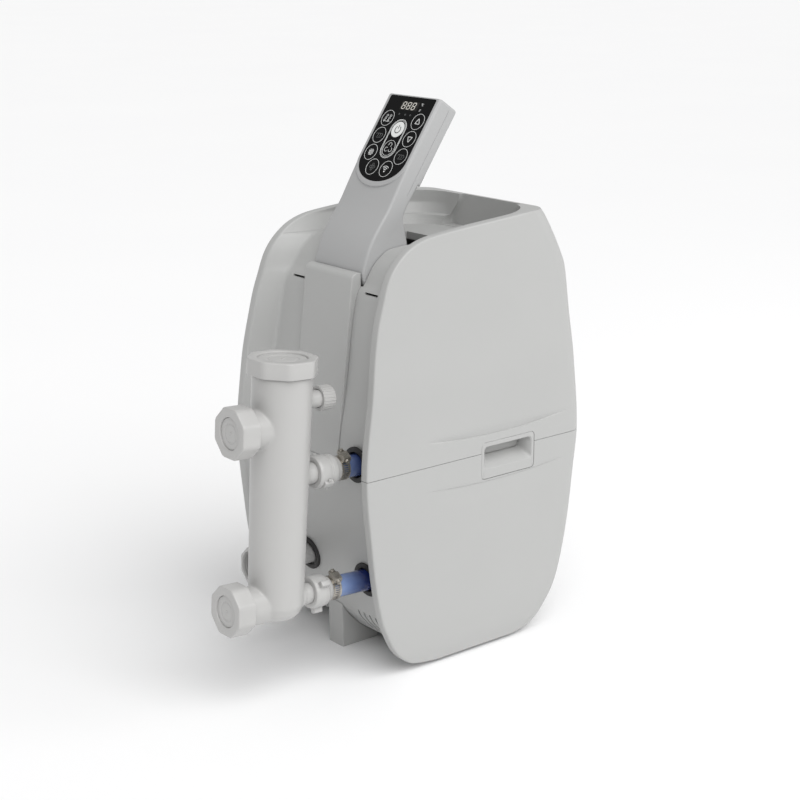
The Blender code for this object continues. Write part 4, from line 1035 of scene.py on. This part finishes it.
def arc(x, down, radius, start, end, steps=24):  # degrees, 0 to the right and 90 towards the head's top
    turns = [math.radians(start + (end - start) * i / steps) for i in range(steps + 1)]
    return [Vector((x + radius * math.cos(turn), down - radius * math.sin(turn))) for turn in turns]


def ringOf(x, down, radius, steps=40):
    return arc(x, down, radius, 0, 360, steps)[:-1]


def merged(parts, name, material):
    total = bmesh.new()
    for part in parts:
        mesh = bpy.data.meshes.new("part")
        bmesh.ops.recalc_face_normals(part, faces=part.faces)
        part.to_mesh(mesh)
        part.free()
        total.from_mesh(mesh)
        bpy.data.meshes.remove(mesh)
    return objectFrom(total, name, material)


digits = {"half": 0.0026, "rise": 0.0044, "slant": 0.12, "bar": 0.0009, "break": 0.0005, "height": 0.0001,
          "first": -0.0098, "gap": 0.0088, "down": 0.0148}


def digit(x, down):  # seven bars, leaning a little
    w, h = digits["half"], digits["rise"]
    across = [((-w, level), (w, level)) for level in (-h, 0, h)]
    upright = [((side, level), (side, level + h)) for level in (-h, 0) for side in (-w, w)]
    bars, middle = [], Vector((x, down))
    for (ax, ay), (bx, by) in across + upright:
        a, b = Vector((ax - digits["slant"] * ay, ay)), Vector((bx - digits["slant"] * by, by))
        run = (b - a).normalized() * digits["break"]
        bars.append(ribbon([middle + a + run, middle + b - run], digits["bar"], depth=-digits["height"]))
    return bars


def line(*points):  # straight stretches through (x, down) points
    return [Vector(p) for p in points]


def pillPrint():  # the power key and the blower key in one double outline
    width, power, fan, half = panel["line"], panel["power"], panel["fan"], panel["pillHalf"]
    parts = []
    for grow in (0.0, -0.0013):
        pill = arc(0, power, half + grow, 0, 180) + arc(0, fan, half + grow, 180, 360)
        parts.append(ribbon(pill, width * (1.0 if grow else 1.3), True))
    parts.append(patch(ringOf(0, power, half - 0.0030)))
    parts.append(ribbon(ringOf(0, fan, half - 0.0032), width, True))
    reach, radius = 0.0042, 0.0027
    for turn in (90, 210, 330):
        dx, dy = reach * math.cos(math.radians(turn)), -reach * math.sin(math.radians(turn))
        parts.append(ribbon(arc(dx, fan + dy, radius, turn - 150, turn + 110, 16), width * 1.1))
    return parts


def arrowPrint(x, down, way):  # way is 1 for up and -1 for down
    half, foot, tip, corner = 0.0040, 0.0028, 0.0042, 0.0006
    arrow = roundedPath([(x - half, down + way * foot, corner), (x + half, down + way * foot, corner),
                         (x, down - way * tip, corner)], True, 3)
    return [ribbon(arrow, panel["line"] * 1.8, True)]


def bubblePrint(x, down):
    width, parts = panel["line"], []
    for dx in (-0.0032, 0.0032):
        for k in range(3):
            bubble = ringOf(x + dx + 0.0010 * (k - 1), down + 0.0034 - 0.0034 * k, 0.0013, 14)
            parts.append(ribbon(bubble, width, True))
        parts.append(ribbon(arc(x + dx, down + 0.0058, 0.0024, 20, 160, 10), width))
    return parts


def weavePrint(x, down):
    parts, gap = [], 0.0017
    for k in range(-2, 3):
        reach = 0.0040 if abs(k) < 2 else 0.0026
        for a, b in (((-reach, gap * k), (reach, gap * k)), ((gap * k, -reach), (gap * k, reach))):
            parts.append(ribbon([Vector((x, down)) + Vector(p) for p in (a, b)], panel["line"] * 0.9))
    return parts


def wavePrint(x, down):
    x, width = x - 0.0012, panel["line"] * 1.8
    parts = [ribbon(arc(x, down + 0.0032, 0.0024 + 0.0022 * k, 45, 135, 12), width) for k in range(3)]
    return parts + [patch(ringOf(x, down + 0.0034, 0.0010, 16))]


def unitPrint():  # the degree marks beside the digits
    parts, width = [ribbon(ringOf(0.0205, 0.0105, 0.0006, 12), 0.0003, True)], 0.0004
    parts.append(ribbon(arc(0.0226, 0.0116, 0.0013, 50, 310, 10), width))
    parts.append(ribbon(line((0.0212, 0.0205), (0.0212, 0.0178), (0.0231, 0.0178)), width))
    parts.append(ribbon(line((0.0212, 0.0191), (0.0226, 0.0191)), width))
    return parts


def faintPrint():  # keys that aren't lit
    width, column, rows, parts = panel["line"], panel["keyColumn"], panel["keyRows"], []
    for x, down, wide in ((-column, rows[1], 0.0042), (column, rows[2], 0.0040)):
        for k in range(3):
            parts.append(ribbon(arc(x - wide + wide * k * 0.9, down, 0.0022, -60, 150, 10), width))
        parts.append(ribbon(line((x - wide, down + 0.0035), (x + wide, down + 0.0030)), width))
    (x, down), reach = panel["lowKeys"], 0.0030
    for k in range(4):
        dx, dy = reach * math.cos(1.57 * k), reach * math.sin(1.57 * k)
        parts.append(ribbon(ringOf(-x + dx, down + dy, 0.0016, 14), width, True))
    for x in (-0.011, 0.0, 0.009):
        parts.append(ribbon(ringOf(x, 0.0265, 0.0009, 12), width, True))
    return parts


def powerPrint():
    depth, width, power = -panel["ink"] - 0.00006, 0.0010, panel["power"]
    bow = ribbon(arc(0, power, 0.0046, 125, 415, 30), width, depth=depth)
    return [bow, ribbon(line((0, power - 0.0058), (0, power - 0.0010)), width, depth=depth)]


def makePanel():
    thick, over, gap = panel["thick"], stalk["over"], panel["gap"]
    film = onHead(filmOutline(0), [(thick, 0), (0.0003, 0), (0.0001, 0.0002)])
    film = objectFrom(film, "controlFilm", look["panelBlack"])
    left, top, right, foot = panel["window"]
    opening = onHead(roundedBox((left, top), (right, foot), 0.0008), [(-over, 0), (over, 0)])
    combine(film, [objectFrom(opening, "windowTool")], "DIFFERENCE")
    keep(film, "stalk", "overlay_black", "control_overlay")
    pane = roundedBox((left + gap, top + gap), (right - gap, foot - gap), 0.0007)
    window = objectFrom(onHead(pane, [(thick, 0), (0.0002, 0)]), "displayWindow", look["windowSmoke"])
    keep(window, "stalk", "smoked_window", "display_window")

    column, rows = panel["keyColumn"], panel["keyRows"]
    lowX, lowDown = panel["lowKeys"]
    keys = [(side * column, down) for side in (-1, 1) for down in rows] + [(-lowX, lowDown),
                                                                           (lowX, lowDown)]
    home = Vector(headPoint(0, 0, 0))
    ring = objectFrom(ribbon(ringOf(0, 0, panel["keyRadius"], 48), panel["line"], True), "keyRing")
    ring.data.transform(Matrix.Translation(-home))
    rings = copiesAt("keyRings", ring, [headPoint(x, down, 0) for x, down in keys], look["printWhite"])
    keep(rings, "stalk", "overlay_black")

    white = pillPrint() + arrowPrint(column, rows[0], 1) + arrowPrint(column, rows[1], -1)
    white += bubblePrint(-column, rows[0]) + weavePrint(-column, rows[2]) + wavePrint(lowX, lowDown)
    keep(merged(white + unitPrint(), "panelPrint", look["printWhite"]), "stalk", "overlay_black")
    keep(merged(faintPrint(), "panelFaintPrint", look["printDim"]), "stalk", "overlay_black")
    keep(merged(powerPrint(), "powerSymbol", look["panelBlack"]), "stalk", "overlay_black")
    bars = []
    for k in range(3):
        bars += digit(digits["first"] + digits["gap"] * k, digits["down"])
    keep(merged(bars, "digits", look["digitCream"]), "stalk", "smoked_window")
    print("stalk and panel made")


makeStalk()
makePanel()


# ---- cell pipe

cell = {
    "origin": (0.080, -0.2527, 0.1205), "lean": -3.3, "lowRadius": 0.0315, "topRadius": 0.0340,
    "neck": 0.2620, "end": 0.2720, "top": 0.2812, "threadRadius": 0.0310, "wall": 0.004,
    # (radius, height) of the closed foot
    "foot": [(0.012, -0.0205), (0.0215, -0.0175), (0.0280, -0.0115)],
    "ports": (0.0, 0.203), "portRadius": 0.0225, "portDraft": 0.985, "portThread": 0.0205,
    "portFace": 0.0685, "portEnd": 0.0590, "portNeck": 0.0455,
    # height, radius and reach of each nipple on the back
    "nipples": ((0.0, 0.0123, 0.055), (0.143, 0.0123, 0.055), (0.2285, 0.0100, 0.0570)),
    "nippleWall": 0.0035, "flare": 0.0022,
    "voxel": 0.0012, "melt": 7,  # the grain of the joined pieces, and how often it is smoothed
}
cellPlace = Matrix.Translation(Vector(cell["origin"])) @ Matrix.Rotation(math.radians(cell["lean"]), 4, "X")


def facing(z, front):  # on the cell pipe's axis, Z to the front or to the rear
    return cellPlace @ Matrix.Translation((0, 0, z)) @ Matrix.Rotation(math.radians(90 if front else -90),
                                                                       4, "X")


def makeCellPipe():
    low, top, neck, thread = cell["lowRadius"], cell["topRadius"], cell["neck"], cell["threadRadius"]
    body = cell["foot"] + [(low, -0.002), (top, neck), (thread, neck), (thread, cell["end"])]
    pipe = objectFrom(turned(body, 96), "cellPipe", look["pipeWhite"], cellPlace)
    parts = []
    radius, inner = cell["portRadius"], cell["portThread"]
    port = [(radius, 0.0), (radius * cell["portDraft"], cell["portNeck"]), (inner, cell["portNeck"]),
            (inner, cell["portEnd"])]
    for z in cell["ports"]:
        parts.append(objectFrom(turned(port, 64), "portTool", place=facing(z, True)))
    for z, radius, reach in cell["nipples"]:
        wide = radius + cell["flare"]
        nipple = [(wide, 0.0), (wide - 0.0004, low + 0.0008), (radius, low + 0.0042), (radius, reach)]
        parts.append(objectFrom(turned(nipple, 64), "nippleTool", place=facing(z, False)))
    combine(pipe, parts, "UNION")
    remesh = pipe.modifiers.new("mould", "REMESH")
    remesh.mode, remesh.voxel_size = "VOXEL", cell["voxel"]
    melt = pipe.modifiers.new("melt", "SMOOTH")
    melt.factor, melt.iterations = 0.5, cell["melt"]
    settle(pipe, 180)
    pipe.data.materials.clear()
    pipe.data.materials.append(look["pipeWhite"])

    wall, over, start = cell["wall"], 0.01, 0.005
    bore = [(0.010, cell["foot"][0][1] + wall), (low - wall, -0.002), (thread - wall, neck - over),
            (thread - wall, cell["end"] + over)]
    tools = [objectFrom(turned(bore, 48), "boreTool", place=cellPlace)]
    for z in cell["ports"]:
        bore = turned([(inner - wall, start), (inner - wall, 0.08)], 48)
        tools.append(objectFrom(bore, "boreTool", place=facing(z, True)))
    for z, radius, reach in cell["nipples"]:
        radius -= cell["nippleWall"]
        bore = turned([(radius, start), (radius, 0.08)], 32)
        tools.append(objectFrom(bore, "boreTool", place=facing(z, False)))
    combine(pipe, tools, "DIFFERENCE", 60)
    keep(pipe, "housing", "pipe_white", "cell_pipe")
    print("cell pipe:", len(pipe.data.polygons), "faces")


nut = {"sides": 8, "points": 96, "blunt": 0.975, "edge": 0.0016, "gap": 0.0003, "flange": 0.0025,
       "lipEdge": 0.0012, "discSunk": 0.0020, "seal": 0.0020, "slack": 0.0008,
       # lip radius and width across flats, of the top cap and of the two port caps
       "cap": (0.0277, 0.0750), "port": (0.0180, 0.0560)}


def nutRing(flats, inset, height):
    ring, sector = [], 2 * math.pi / nut["sides"]
    flat = flats / 2
    corner = flat / math.cos(sector / 2) * nut["blunt"]
    for i in range(nut["points"]):
        angle = 2 * math.pi * i / nut["points"]
        within = (angle + sector / 2) % sector - sector / 2
        reach = min(flat / math.cos(within), corner) - inset
        ring.append((reach * math.cos(angle), reach * math.sin(angle), height))
    return ring


def boreRing(radius, height):
    return circleRing(radius, height, nut["points"])


def makeCap(tag, place, neck, end, thread, size, top, node):  # a union nut, and the disc that it holds
    lip, flats = size
    edge, gap, flange, slack = nut["edge"], nut["gap"], nut["flange"], nut["slack"]
    low, discLow = neck + gap, end + nut["seal"] + 2 * gap
    inside = discLow + flange + gap
    rings = [nutRing(flats, edge * 0.5, low), nutRing(flats, edge * 0.1, low + edge * 0.3)]
    rings += [nutRing(flats, 0, low + edge * 0.7), nutRing(flats, 0, top - edge)]
    rings += [nutRing(flats, edge * 0.15, top - edge * 0.5), nutRing(flats, edge * 0.5, top - edge * 0.12)]
    rings += [nutRing(flats, edge, top), boreRing(lip + nut["lipEdge"], top),
              boreRing(lip + 0.0004, top - 0.0003)]
    rings += [boreRing(lip, top - 0.0010), boreRing(lip, inside), boreRing(thread + slack, inside)]
    rings += [boreRing(thread + slack, low)]
    body = objectFrom(ringMesh(rings, bridge=True), tag + "Nut", look["pipeWhite"], place, sharp=40)
    keep(body, node + "_nut", "pipe_white", node + "_nut")

    face, ring, disc = top - nut["discSunk"], lip * 0.62, lip - gap  # groove round the face, gate mark inside
    profile = [(0.0, discLow), (thread, discLow), (thread, discLow + flange)]
    outer = [(disc, discLow + flange), (disc, face, 0.0005), (ring + 0.0010, face, 0.0003),
             (ring + 0.0002, face - 0.0007, 0.0003), (ring - 0.0010, face - 0.0007, 0.0003),
             (ring - 0.0018, face - 0.0002, 0.0003), (0.0016, face - 0.0002)]
    profile += roundedPath(outer, False, 3)
    profile += [(0.0014, face + 0.0003), (0.0008, face + 0.0004), (0.0, face + 0.0004)]
    cover = objectFrom(turned(profile, 72), tag + "Disc", look["pipeWhite"], place, sharp=50)
    keep(cover, node + "_disc", "pipe_white", node + "_disc")


bleed = {"height": 0.2285, "low": 0.0490, "high": 0.0660, "radius": 0.0135, "bore": 0.0106,
         "boreEnd": 0.0605,
         "dish": 0.0088, "dishDepth": 0.0006, "ribs": 24, "ribHalf": 0.0007, "ribEdge": 0.0005}


def makeBleedCap():
    place, low, high, radius = facing(bleed["height"], False), bleed["low"], bleed["high"], bleed["radius"]
    dish, sunk, bore = bleed["dish"], high - bleed["dishDepth"], bleed["bore"]
    profile = roundedPath([(bore, low), (radius, low, 0.0006), (radius, high, 0.0016), (dish, high, 0.0004),
                           (dish - 0.0004, sunk, 0.0003), (0.0, sunk)], False, 4)
    profile += [(0.0, bleed["boreEnd"]), (bore, bleed["boreEnd"])]
    cap = objectFrom(turned(profile, 64, True), "bleedCap", look["pipeWhite"], place, 40)
    keep(cap, "bleed_cap", "pipe_white", "bleed_cap")
    half = bleed["ribHalf"]
    rib = roundedBox((-0.0006, -half), (half, half), bleed["ribEdge"], 3)
    rib = objectFrom(slabZ(rib, low + 0.0010, high - 0.0014), "rib")
    ribs = copiesRound("bleedCapRibs", rib, bleed["ribs"], radius, place, look["pipeWhite"])
    keep(ribs, "bleed_cap", "pipe_white")


collars = {
    # height on the pipe, length, wings, turn of the first, wing width, wing length, wing reach
    "upper": (0.143, 0.0320, 2, 35, 0.009, 0.012, 0.0025),
    "lower": (0.0, 0.0260, 3, 80, 0.007, 0.011, 0.0060)}
hose = {"radius": 0.013, "collarStart": 0.0450, "collarRadius": 0.0190, "collarBore": 0.0126,
        "stop": 0.016, "wingStart": 0.005, "clampWidth": 0.0120, "insideY": -0.108, "lead": 0.035,
        "heaterY": -0.010, "heaterRadius": 0.024, "spigot": 0.012,
        "holes": {"upper": 0.2572, "lower": 0.1129}}


def makeCollar(tag):
    z, length, wings, turn, width, run, reach = collars[tag]
    place, start, radius = facing(z, False), hose["collarStart"], hose["collarRadius"]
    end, stop = start + length, start + hose["stop"]
    bore, mouth = hose["collarBore"], hose["radius"] + 0.0012
    waist, hub = radius - 0.0018, radius - 0.0006
    outer = roundedPath([(bore, start), (radius - 0.0012, start, 0.0015), (radius, start + 0.003, 0.0012),
                         (radius, start + 0.0140, 0.0010), (waist, start + 0.0152, 0.0006),
                         (waist, start + 0.0175, 0.0006), (hub, start + 0.0185, 0.0008),
                         (hub - 0.0002, end - 0.0075, 0.0012), (radius - 0.0026, end - 0.0055, 0.0010),
                         (radius - 0.0044, end, 0.0006), (mouth, end)], False, 4)
    inner = [(mouth, stop + 0.0003), (bore, stop + 0.0003)]
    body = objectFrom(turned(outer + inner, 96, True), tag + "Collar", look["pipeWhite"], place)
    lugs, low = [], start + hose["wingStart"]
    for i in range(wings):
        angle = math.radians(turn) + 2 * math.pi * i / wings
        spin = place @ Matrix.Rotation(angle, 4, "Z")
        corner = min(width, reach + 0.004) * 0.32
        wing = roundedBox((radius - 0.004, -width / 2), (radius + reach, width / 2), corner, 4)
        lugs.append(objectFrom(slabZ(wing, low, low + run), "lugTool", place=spin))
        if reach < 0.004:  # latch bar across the short wings
            bar = roundedBox((radius - 0.001, -width * 0.9), (radius + 0.0015, width * 0.9), 0.0008, 3)
            lugs.append(objectFrom(slabZ(bar, low + 0.004, low + 0.008), "latchTool", place=spin))
    combine(body, lugs, "UNION")
    soften(body, 0.0006, 2, 45)
    keep(body, tag + "_collar", "pipe_white", tag + "_collar")
    return stop + 0.0026


clamp = {"turn": -60, "gap": 0.0003, "thick": 0.0014, "lip": 0.0002, "lipWidth": 0.0016,
         # screw housing: reach in and out from the band, half width, corner, set in from the band's edges
         "block": (0.0008, 0.0072, 0.0065, 0.0028, 0.0012),
         "slots": 36, "slotHalf": (0.0005, 0.0033), "slotTurn": 5, "slotDepth": 0.0006,
         "screwOut": 0.0032, "screwBore": 0.0029, "screwStart": -0.0085, "threads": 11, "pitch": 0.0013,
         "crest": 0.0026, "root": 0.0021, "driver": (0.006, 0.00045, 0.0093)}


def makeScrew(tag, place):
    crest, root, start, pitch = clamp["crest"], clamp["root"], clamp["screwStart"], clamp["pitch"]
    thread = [(0.0, start)]
    for i in range(clamp["threads"]):
        thread += [(crest, start + pitch * i), (root, start + pitch * (i + 0.5))]
    head = roundedPath([(crest, 0.0065), (0.0042, 0.0068, 0.0003), (0.0042, 0.0100, 0.0005),
                        (0.0030, 0.0105, 0.0003), (0.0, 0.0105)], False, 3)
    screw = objectFrom(turned(thread + head, 36), tag + "Screw", look["clampSteel"], place, 40)
    half, width, floor = clamp["driver"]
    slot = slabZ(roundedBox((-half, -width), (half, width), 0.0002, 2), floor, 0.012)
    cuts = [objectFrom(slot, "driverTool", place=place)]
    for i in range(6):
        flat = slabZ(roundedBox((0.0038, -0.004), (0.006, 0.004), 0.0002, 2), 0.0070, 0.012)
        spin = place @ Matrix.Rotation(math.radians(60 * i), 4, "Z")
        cuts.append(objectFrom(flat, "flatTool", place=spin))
    combine(screw, cuts, "DIFFERENCE")
    keep(screw, tag + "_clamp_screw", "clamp_steel", tag + "_clamp_screw")


def makeClamp(tag):
    z, length, *_ = collars[tag]
    place = facing(z, False) @ Matrix.Rotation(math.radians(clamp["turn"]), 4, "Z")
    low = hose["collarStart"] + length + clamp["gap"]
    high = low + hose["clampWidth"]
    inner, outer = hose["radius"] + clamp["gap"], hose["radius"] + clamp["thick"]
    lip, lipWidth, steel = clamp["lip"], clamp["lipWidth"], look["clampSteel"]
    section = roundedPath([(outer - lip, low), (outer + lip, low + lip, lip),
                           (outer, low + lipWidth, 0.0004),
                           (outer, high - lipWidth, 0.0004), (outer + lip, high - lip, lip),
                           (outer - lip, high)], False, 3)
    band = turned(section + [(inner, high), (inner, low)], 96, True)
    band = objectFrom(band, tag + "Clamp", steel, place)
    middle = (low + high) / 2
    back, front, half, corner, inset = clamp["block"]
    block = slabZ(roundedBox((outer - back, -half), (outer + front, half), corner, 6), low + inset,
                  high - inset)
    combine(band, [objectFrom(block, "blockTool", place=place)], "UNION")

    halfX, halfY = clamp["slotHalf"]
    outline, cut = roundedBox((-halfX, -halfY), (halfX, halfY), 0.0004, 3), clamp["slotDepth"]
    slot = ringMesh([[(x, p.x, middle + p.y) for p in outline] for x in (-0.0006, 0.0020)])
    spin = place @ Matrix.Rotation(math.radians(clamp["slotTurn"]), 4, "Z")
    slots = copiesRound("slotTool", objectFrom(slot, "slot"), clamp["slots"], outer - cut, spin, steel)
    screwPlace = place @ Matrix.Translation((outer + clamp["screwOut"], 0, middle))
    screwPlace = screwPlace @ Matrix.Rotation(math.radians(90), 4, "X")
    bore = turned([(clamp["screwBore"], -0.012), (clamp["screwBore"], 0.012)], 32)
    hollow = turned([(inner, low - 0.01), (inner, high + 0.01)], 96)
    combine(band, [slots, objectFrom(bore, "screwTool", place=screwPlace),
                   objectFrom(hollow, "hoseTool", place=place)], "DIFFERENCE")
    keep(band, "housing", "clamp_steel", tag + "_clamp_band")
    makeScrew(tag, screwPlace)


def makeHose(tag, start):  # straight through its grommet, then bending to the heater
    place = facing(collars[tag][0], False)
    near = place @ Vector((0, 0, start))
    ahead = (place @ Vector((0, 0, start + 0.1)) - near).normalized()
    through = near + ahead * (hose["insideY"] - near.y) / ahead.y
    lead = through + ahead * hose["lead"]
    far = Vector((near.x, hose["heaterY"] - hose["heaterRadius"] - hose["spigot"], hose["holes"][tag]))
    steps = 12
    path = [near.lerp(through, i / steps) for i in range(steps)]
    path += [through.lerp(lead, i / steps).lerp(lead.lerp(far, i / steps),
                                                i / steps) for i in range(steps + 1)]
    item = tubeAlong(tag + "Hose", path, hose["radius"], 48, look["hoseBlue"])
    keep(item, "housing", "hose_blue", tag + "_hose")


# the painted shade on the hoses darkens between these two depths, towards the housing
look["hoseBlue"] = makeHoseBlueWithPaintedShade(-0.170 + drawnShift.y, -0.128 + drawnShift.y)
makeCellPipe()
makeCap("cellCap", cellPlace, cell["neck"], cell["end"], cell["threadRadius"], nut["cap"], cell["top"],
        "cell_cap")
for tag, z in (("upper", cell["ports"][1]), ("lower", cell["ports"][0])):
    makeCap(tag + "Port", facing(z, True), cell["portNeck"], cell["portEnd"], cell["portThread"],
            nut["port"],
            cell["portFace"], tag + "_port")
makeBleedCap()
for tag in collars:
    begin = makeCollar(tag)
    makeClamp(tag)
    makeHose(tag, begin)
print("fittings and hoses made")


# ---- grommets, return connection, gland and feet

grommet = {"bore": 0.0148, "neck": 0.0172, "flange": 0.0212, "thick": 0.0034, "gap": 0.0003,
           "back": -0.0055}
returnEnd = {"origin": (-0.034, 0.0, 0.1135), "radius": 0.0128, "bore": 0.0095, "start": 0.045,
             "flange": (0.0175, 0.1830, 0.1860), "edge": 0.0003,
             "nut": (0.1785, 0.207), "flats": 0.048, "threadRadius": (0.0203, 0.0198), "pitch": 0.003,
             "threads": 6}
gland = {"bore": 0.0035, "neck": 0.0078, "seat": 0.0022, "hex": 0.0115, "flutes": 14, "proud": 0.0015}
pads = {"radius": 0.010, "height": 0.0047, "x": 0.085, "front": -0.030, "rear": 0.075}


def makeGrommet(name, node):
    x, z, straight = holes[name]
    bore, neck, flange, gap = grommet["bore"], grommet["neck"], grommet["flange"], grommet["gap"]
    face, back = gap + grommet["thick"], grommet["back"]
    profile = roundedPath([(bore, back), (neck, back, 0.0004), (neck, gap, 0.0002), (flange, gap, 0.0006),
                           (flange, face, 0.0028), (bore, face, 0.0020), (bore, -0.0040)], False, 5)
    ring = objectFrom(turned(profile, 64, True), name + "Grommet", look["blackRubber"],
                      holePlace(x, z, straight))
    keep(ring, "housing", "black_rubber", node)


def makeReturn():
    place, radius, bore = along((0, -1, 0), returnEnd["origin"]), returnEnd["radius"], returnEnd["bore"]
    rim, back, face = returnEnd["flange"]
    edge, start = returnEnd["edge"], returnEnd["start"]
    pipe = [(radius, start), (radius, back - 0.0015), (radius + 0.0008, back), (rim - edge, back),
            (rim, back + edge), (rim, face - edge), (rim - edge, face), (bore + 0.0005, face),
            (bore, face - 0.0005), (bore, start)]
    pipe = objectFrom(turned(pipe, 64, True), "returnPipe", look["pipeWhite"], place)
    keep(pipe, "housing", "pipe_white", "return_pipe")
    (low, high), flats, edge = returnEnd["nut"], returnEnd["flats"], nut["edge"]
    wide, narrow = returnEnd["threadRadius"]
    rings = [nutRing(flats, edge * 0.5, low), nutRing(flats, 0, low + edge * 0.7),
             nutRing(flats, 0, high - edge)]
    rings += [nutRing(flats, edge * 0.15, high - edge * 0.5), nutRing(flats, edge, high)]
    rings += [boreRing(wide + 0.0005, high), boreRing(wide, high - 0.0006)]
    for i in range(returnEnd["threads"]):
        base = high - 0.002 - returnEnd["pitch"] * i
        rings += [boreRing(wide, base), boreRing(narrow, base - 0.0006), boreRing(narrow, base - 0.0014)]
        rings += [boreRing(wide, base - 0.0020)]
    seat, neck = back - 0.0003, radius + 0.0004
    rings += [boreRing(narrow, face + 0.0002), boreRing(narrow, seat), boreRing(neck, seat),
              boreRing(neck, low)]
    body = objectFrom(ringMesh(rings, bridge=True), "returnNut", look["pipeWhite"], place, 40)
    keep(body, "return_nut", "pipe_white", "return_union_nut")


def makeGland():
    x, z, _ = openings["gland"]
    bore, neck, seat, wide = gland["bore"], gland["neck"], gland["seat"], gland["hex"]
    profile = roundedPath([(bore, -0.012), (neck, -0.012), (neck, seat, 0.0002), (wide, seat, 0.0004),
                           (wide - 0.0003, 0.0075, 0.0010), (0.0085, 0.0090, 0.0006),
                           (0.0062, 0.0160, 0.0008),
                           (bore, 0.0160)], False, 4)
    place = along((0, 1, 0), (x, rearWall(z) + gland["proud"], z))
    body = objectFrom(turned(profile, 48, True), "cableGland", look["motorBlack"], place)
    keep(body, "housing", "motor_black", "cable_gland")
    flute = slabZ(roundedBox((-0.0004, -0.0010), (0.0006, 0.0010), 0.0005, 3), 0.0030, 0.0066)
    flutes = copiesRound("glandFlutes", objectFrom(flute, "flute"), gland["flutes"], 0.0110, place,
                         look["motorBlack"])
    keep(flutes, "housing", "motor_black")


def makeFeet():
    radius, height = pads["radius"], pads["height"]
    outline = [(0.0, 0.0), (radius, 0.0, 0.0010), (radius, height, 0.0003), (0.0, height)]
    for end in ("front", "rear"):
        for side, x in (("left", pads["x"]), ("right", -pads["x"])):
            name, place = end + "_" + side, Matrix.Translation((x, pads[end], 0))
            pad = objectFrom(turned(roundedPath(outline, False, 4), 40), "pad_" + name, look["blackRubber"],
                             place)
            keep(pad, "housing", "black_rubber", "rubber_foot_" + name)


makeGrommet("upperHose", "upper_hose_grommet")
makeGrommet("lowerHose", "lower_hose_grommet")
makeGrommet("return", "return_grommet")
makeReturn()
makeGland()
makeFeet()
print("grommets, return connection, gland and feet made")


# ---- finishes of the inner pieces

slotLook = {"housing_grey": "housingGrey", "pipe_white": "pipeWhite", "black_rubber": "blackRubber",
            "overlay_black": "panelBlack", "smoked_window": "windowSmoke", "clamp_steel": "clampSteel",
            "hose_blue": "hoseBlue", "board_green": "boardGreen", "motor_black": "motorBlack",
            "winding_copper": "windingCopper", "plate_titanium": "plateTitanium",
            "blower_aluminium": "blowerAluminium"}
for part in frame["record"]["subparts"]:
    node = frame["nodes"][part["node"]]
    if not node.hide_render:
        node.data.materials.clear()
        node.data.materials.append(look[slotLook[part["material_slot"]]])
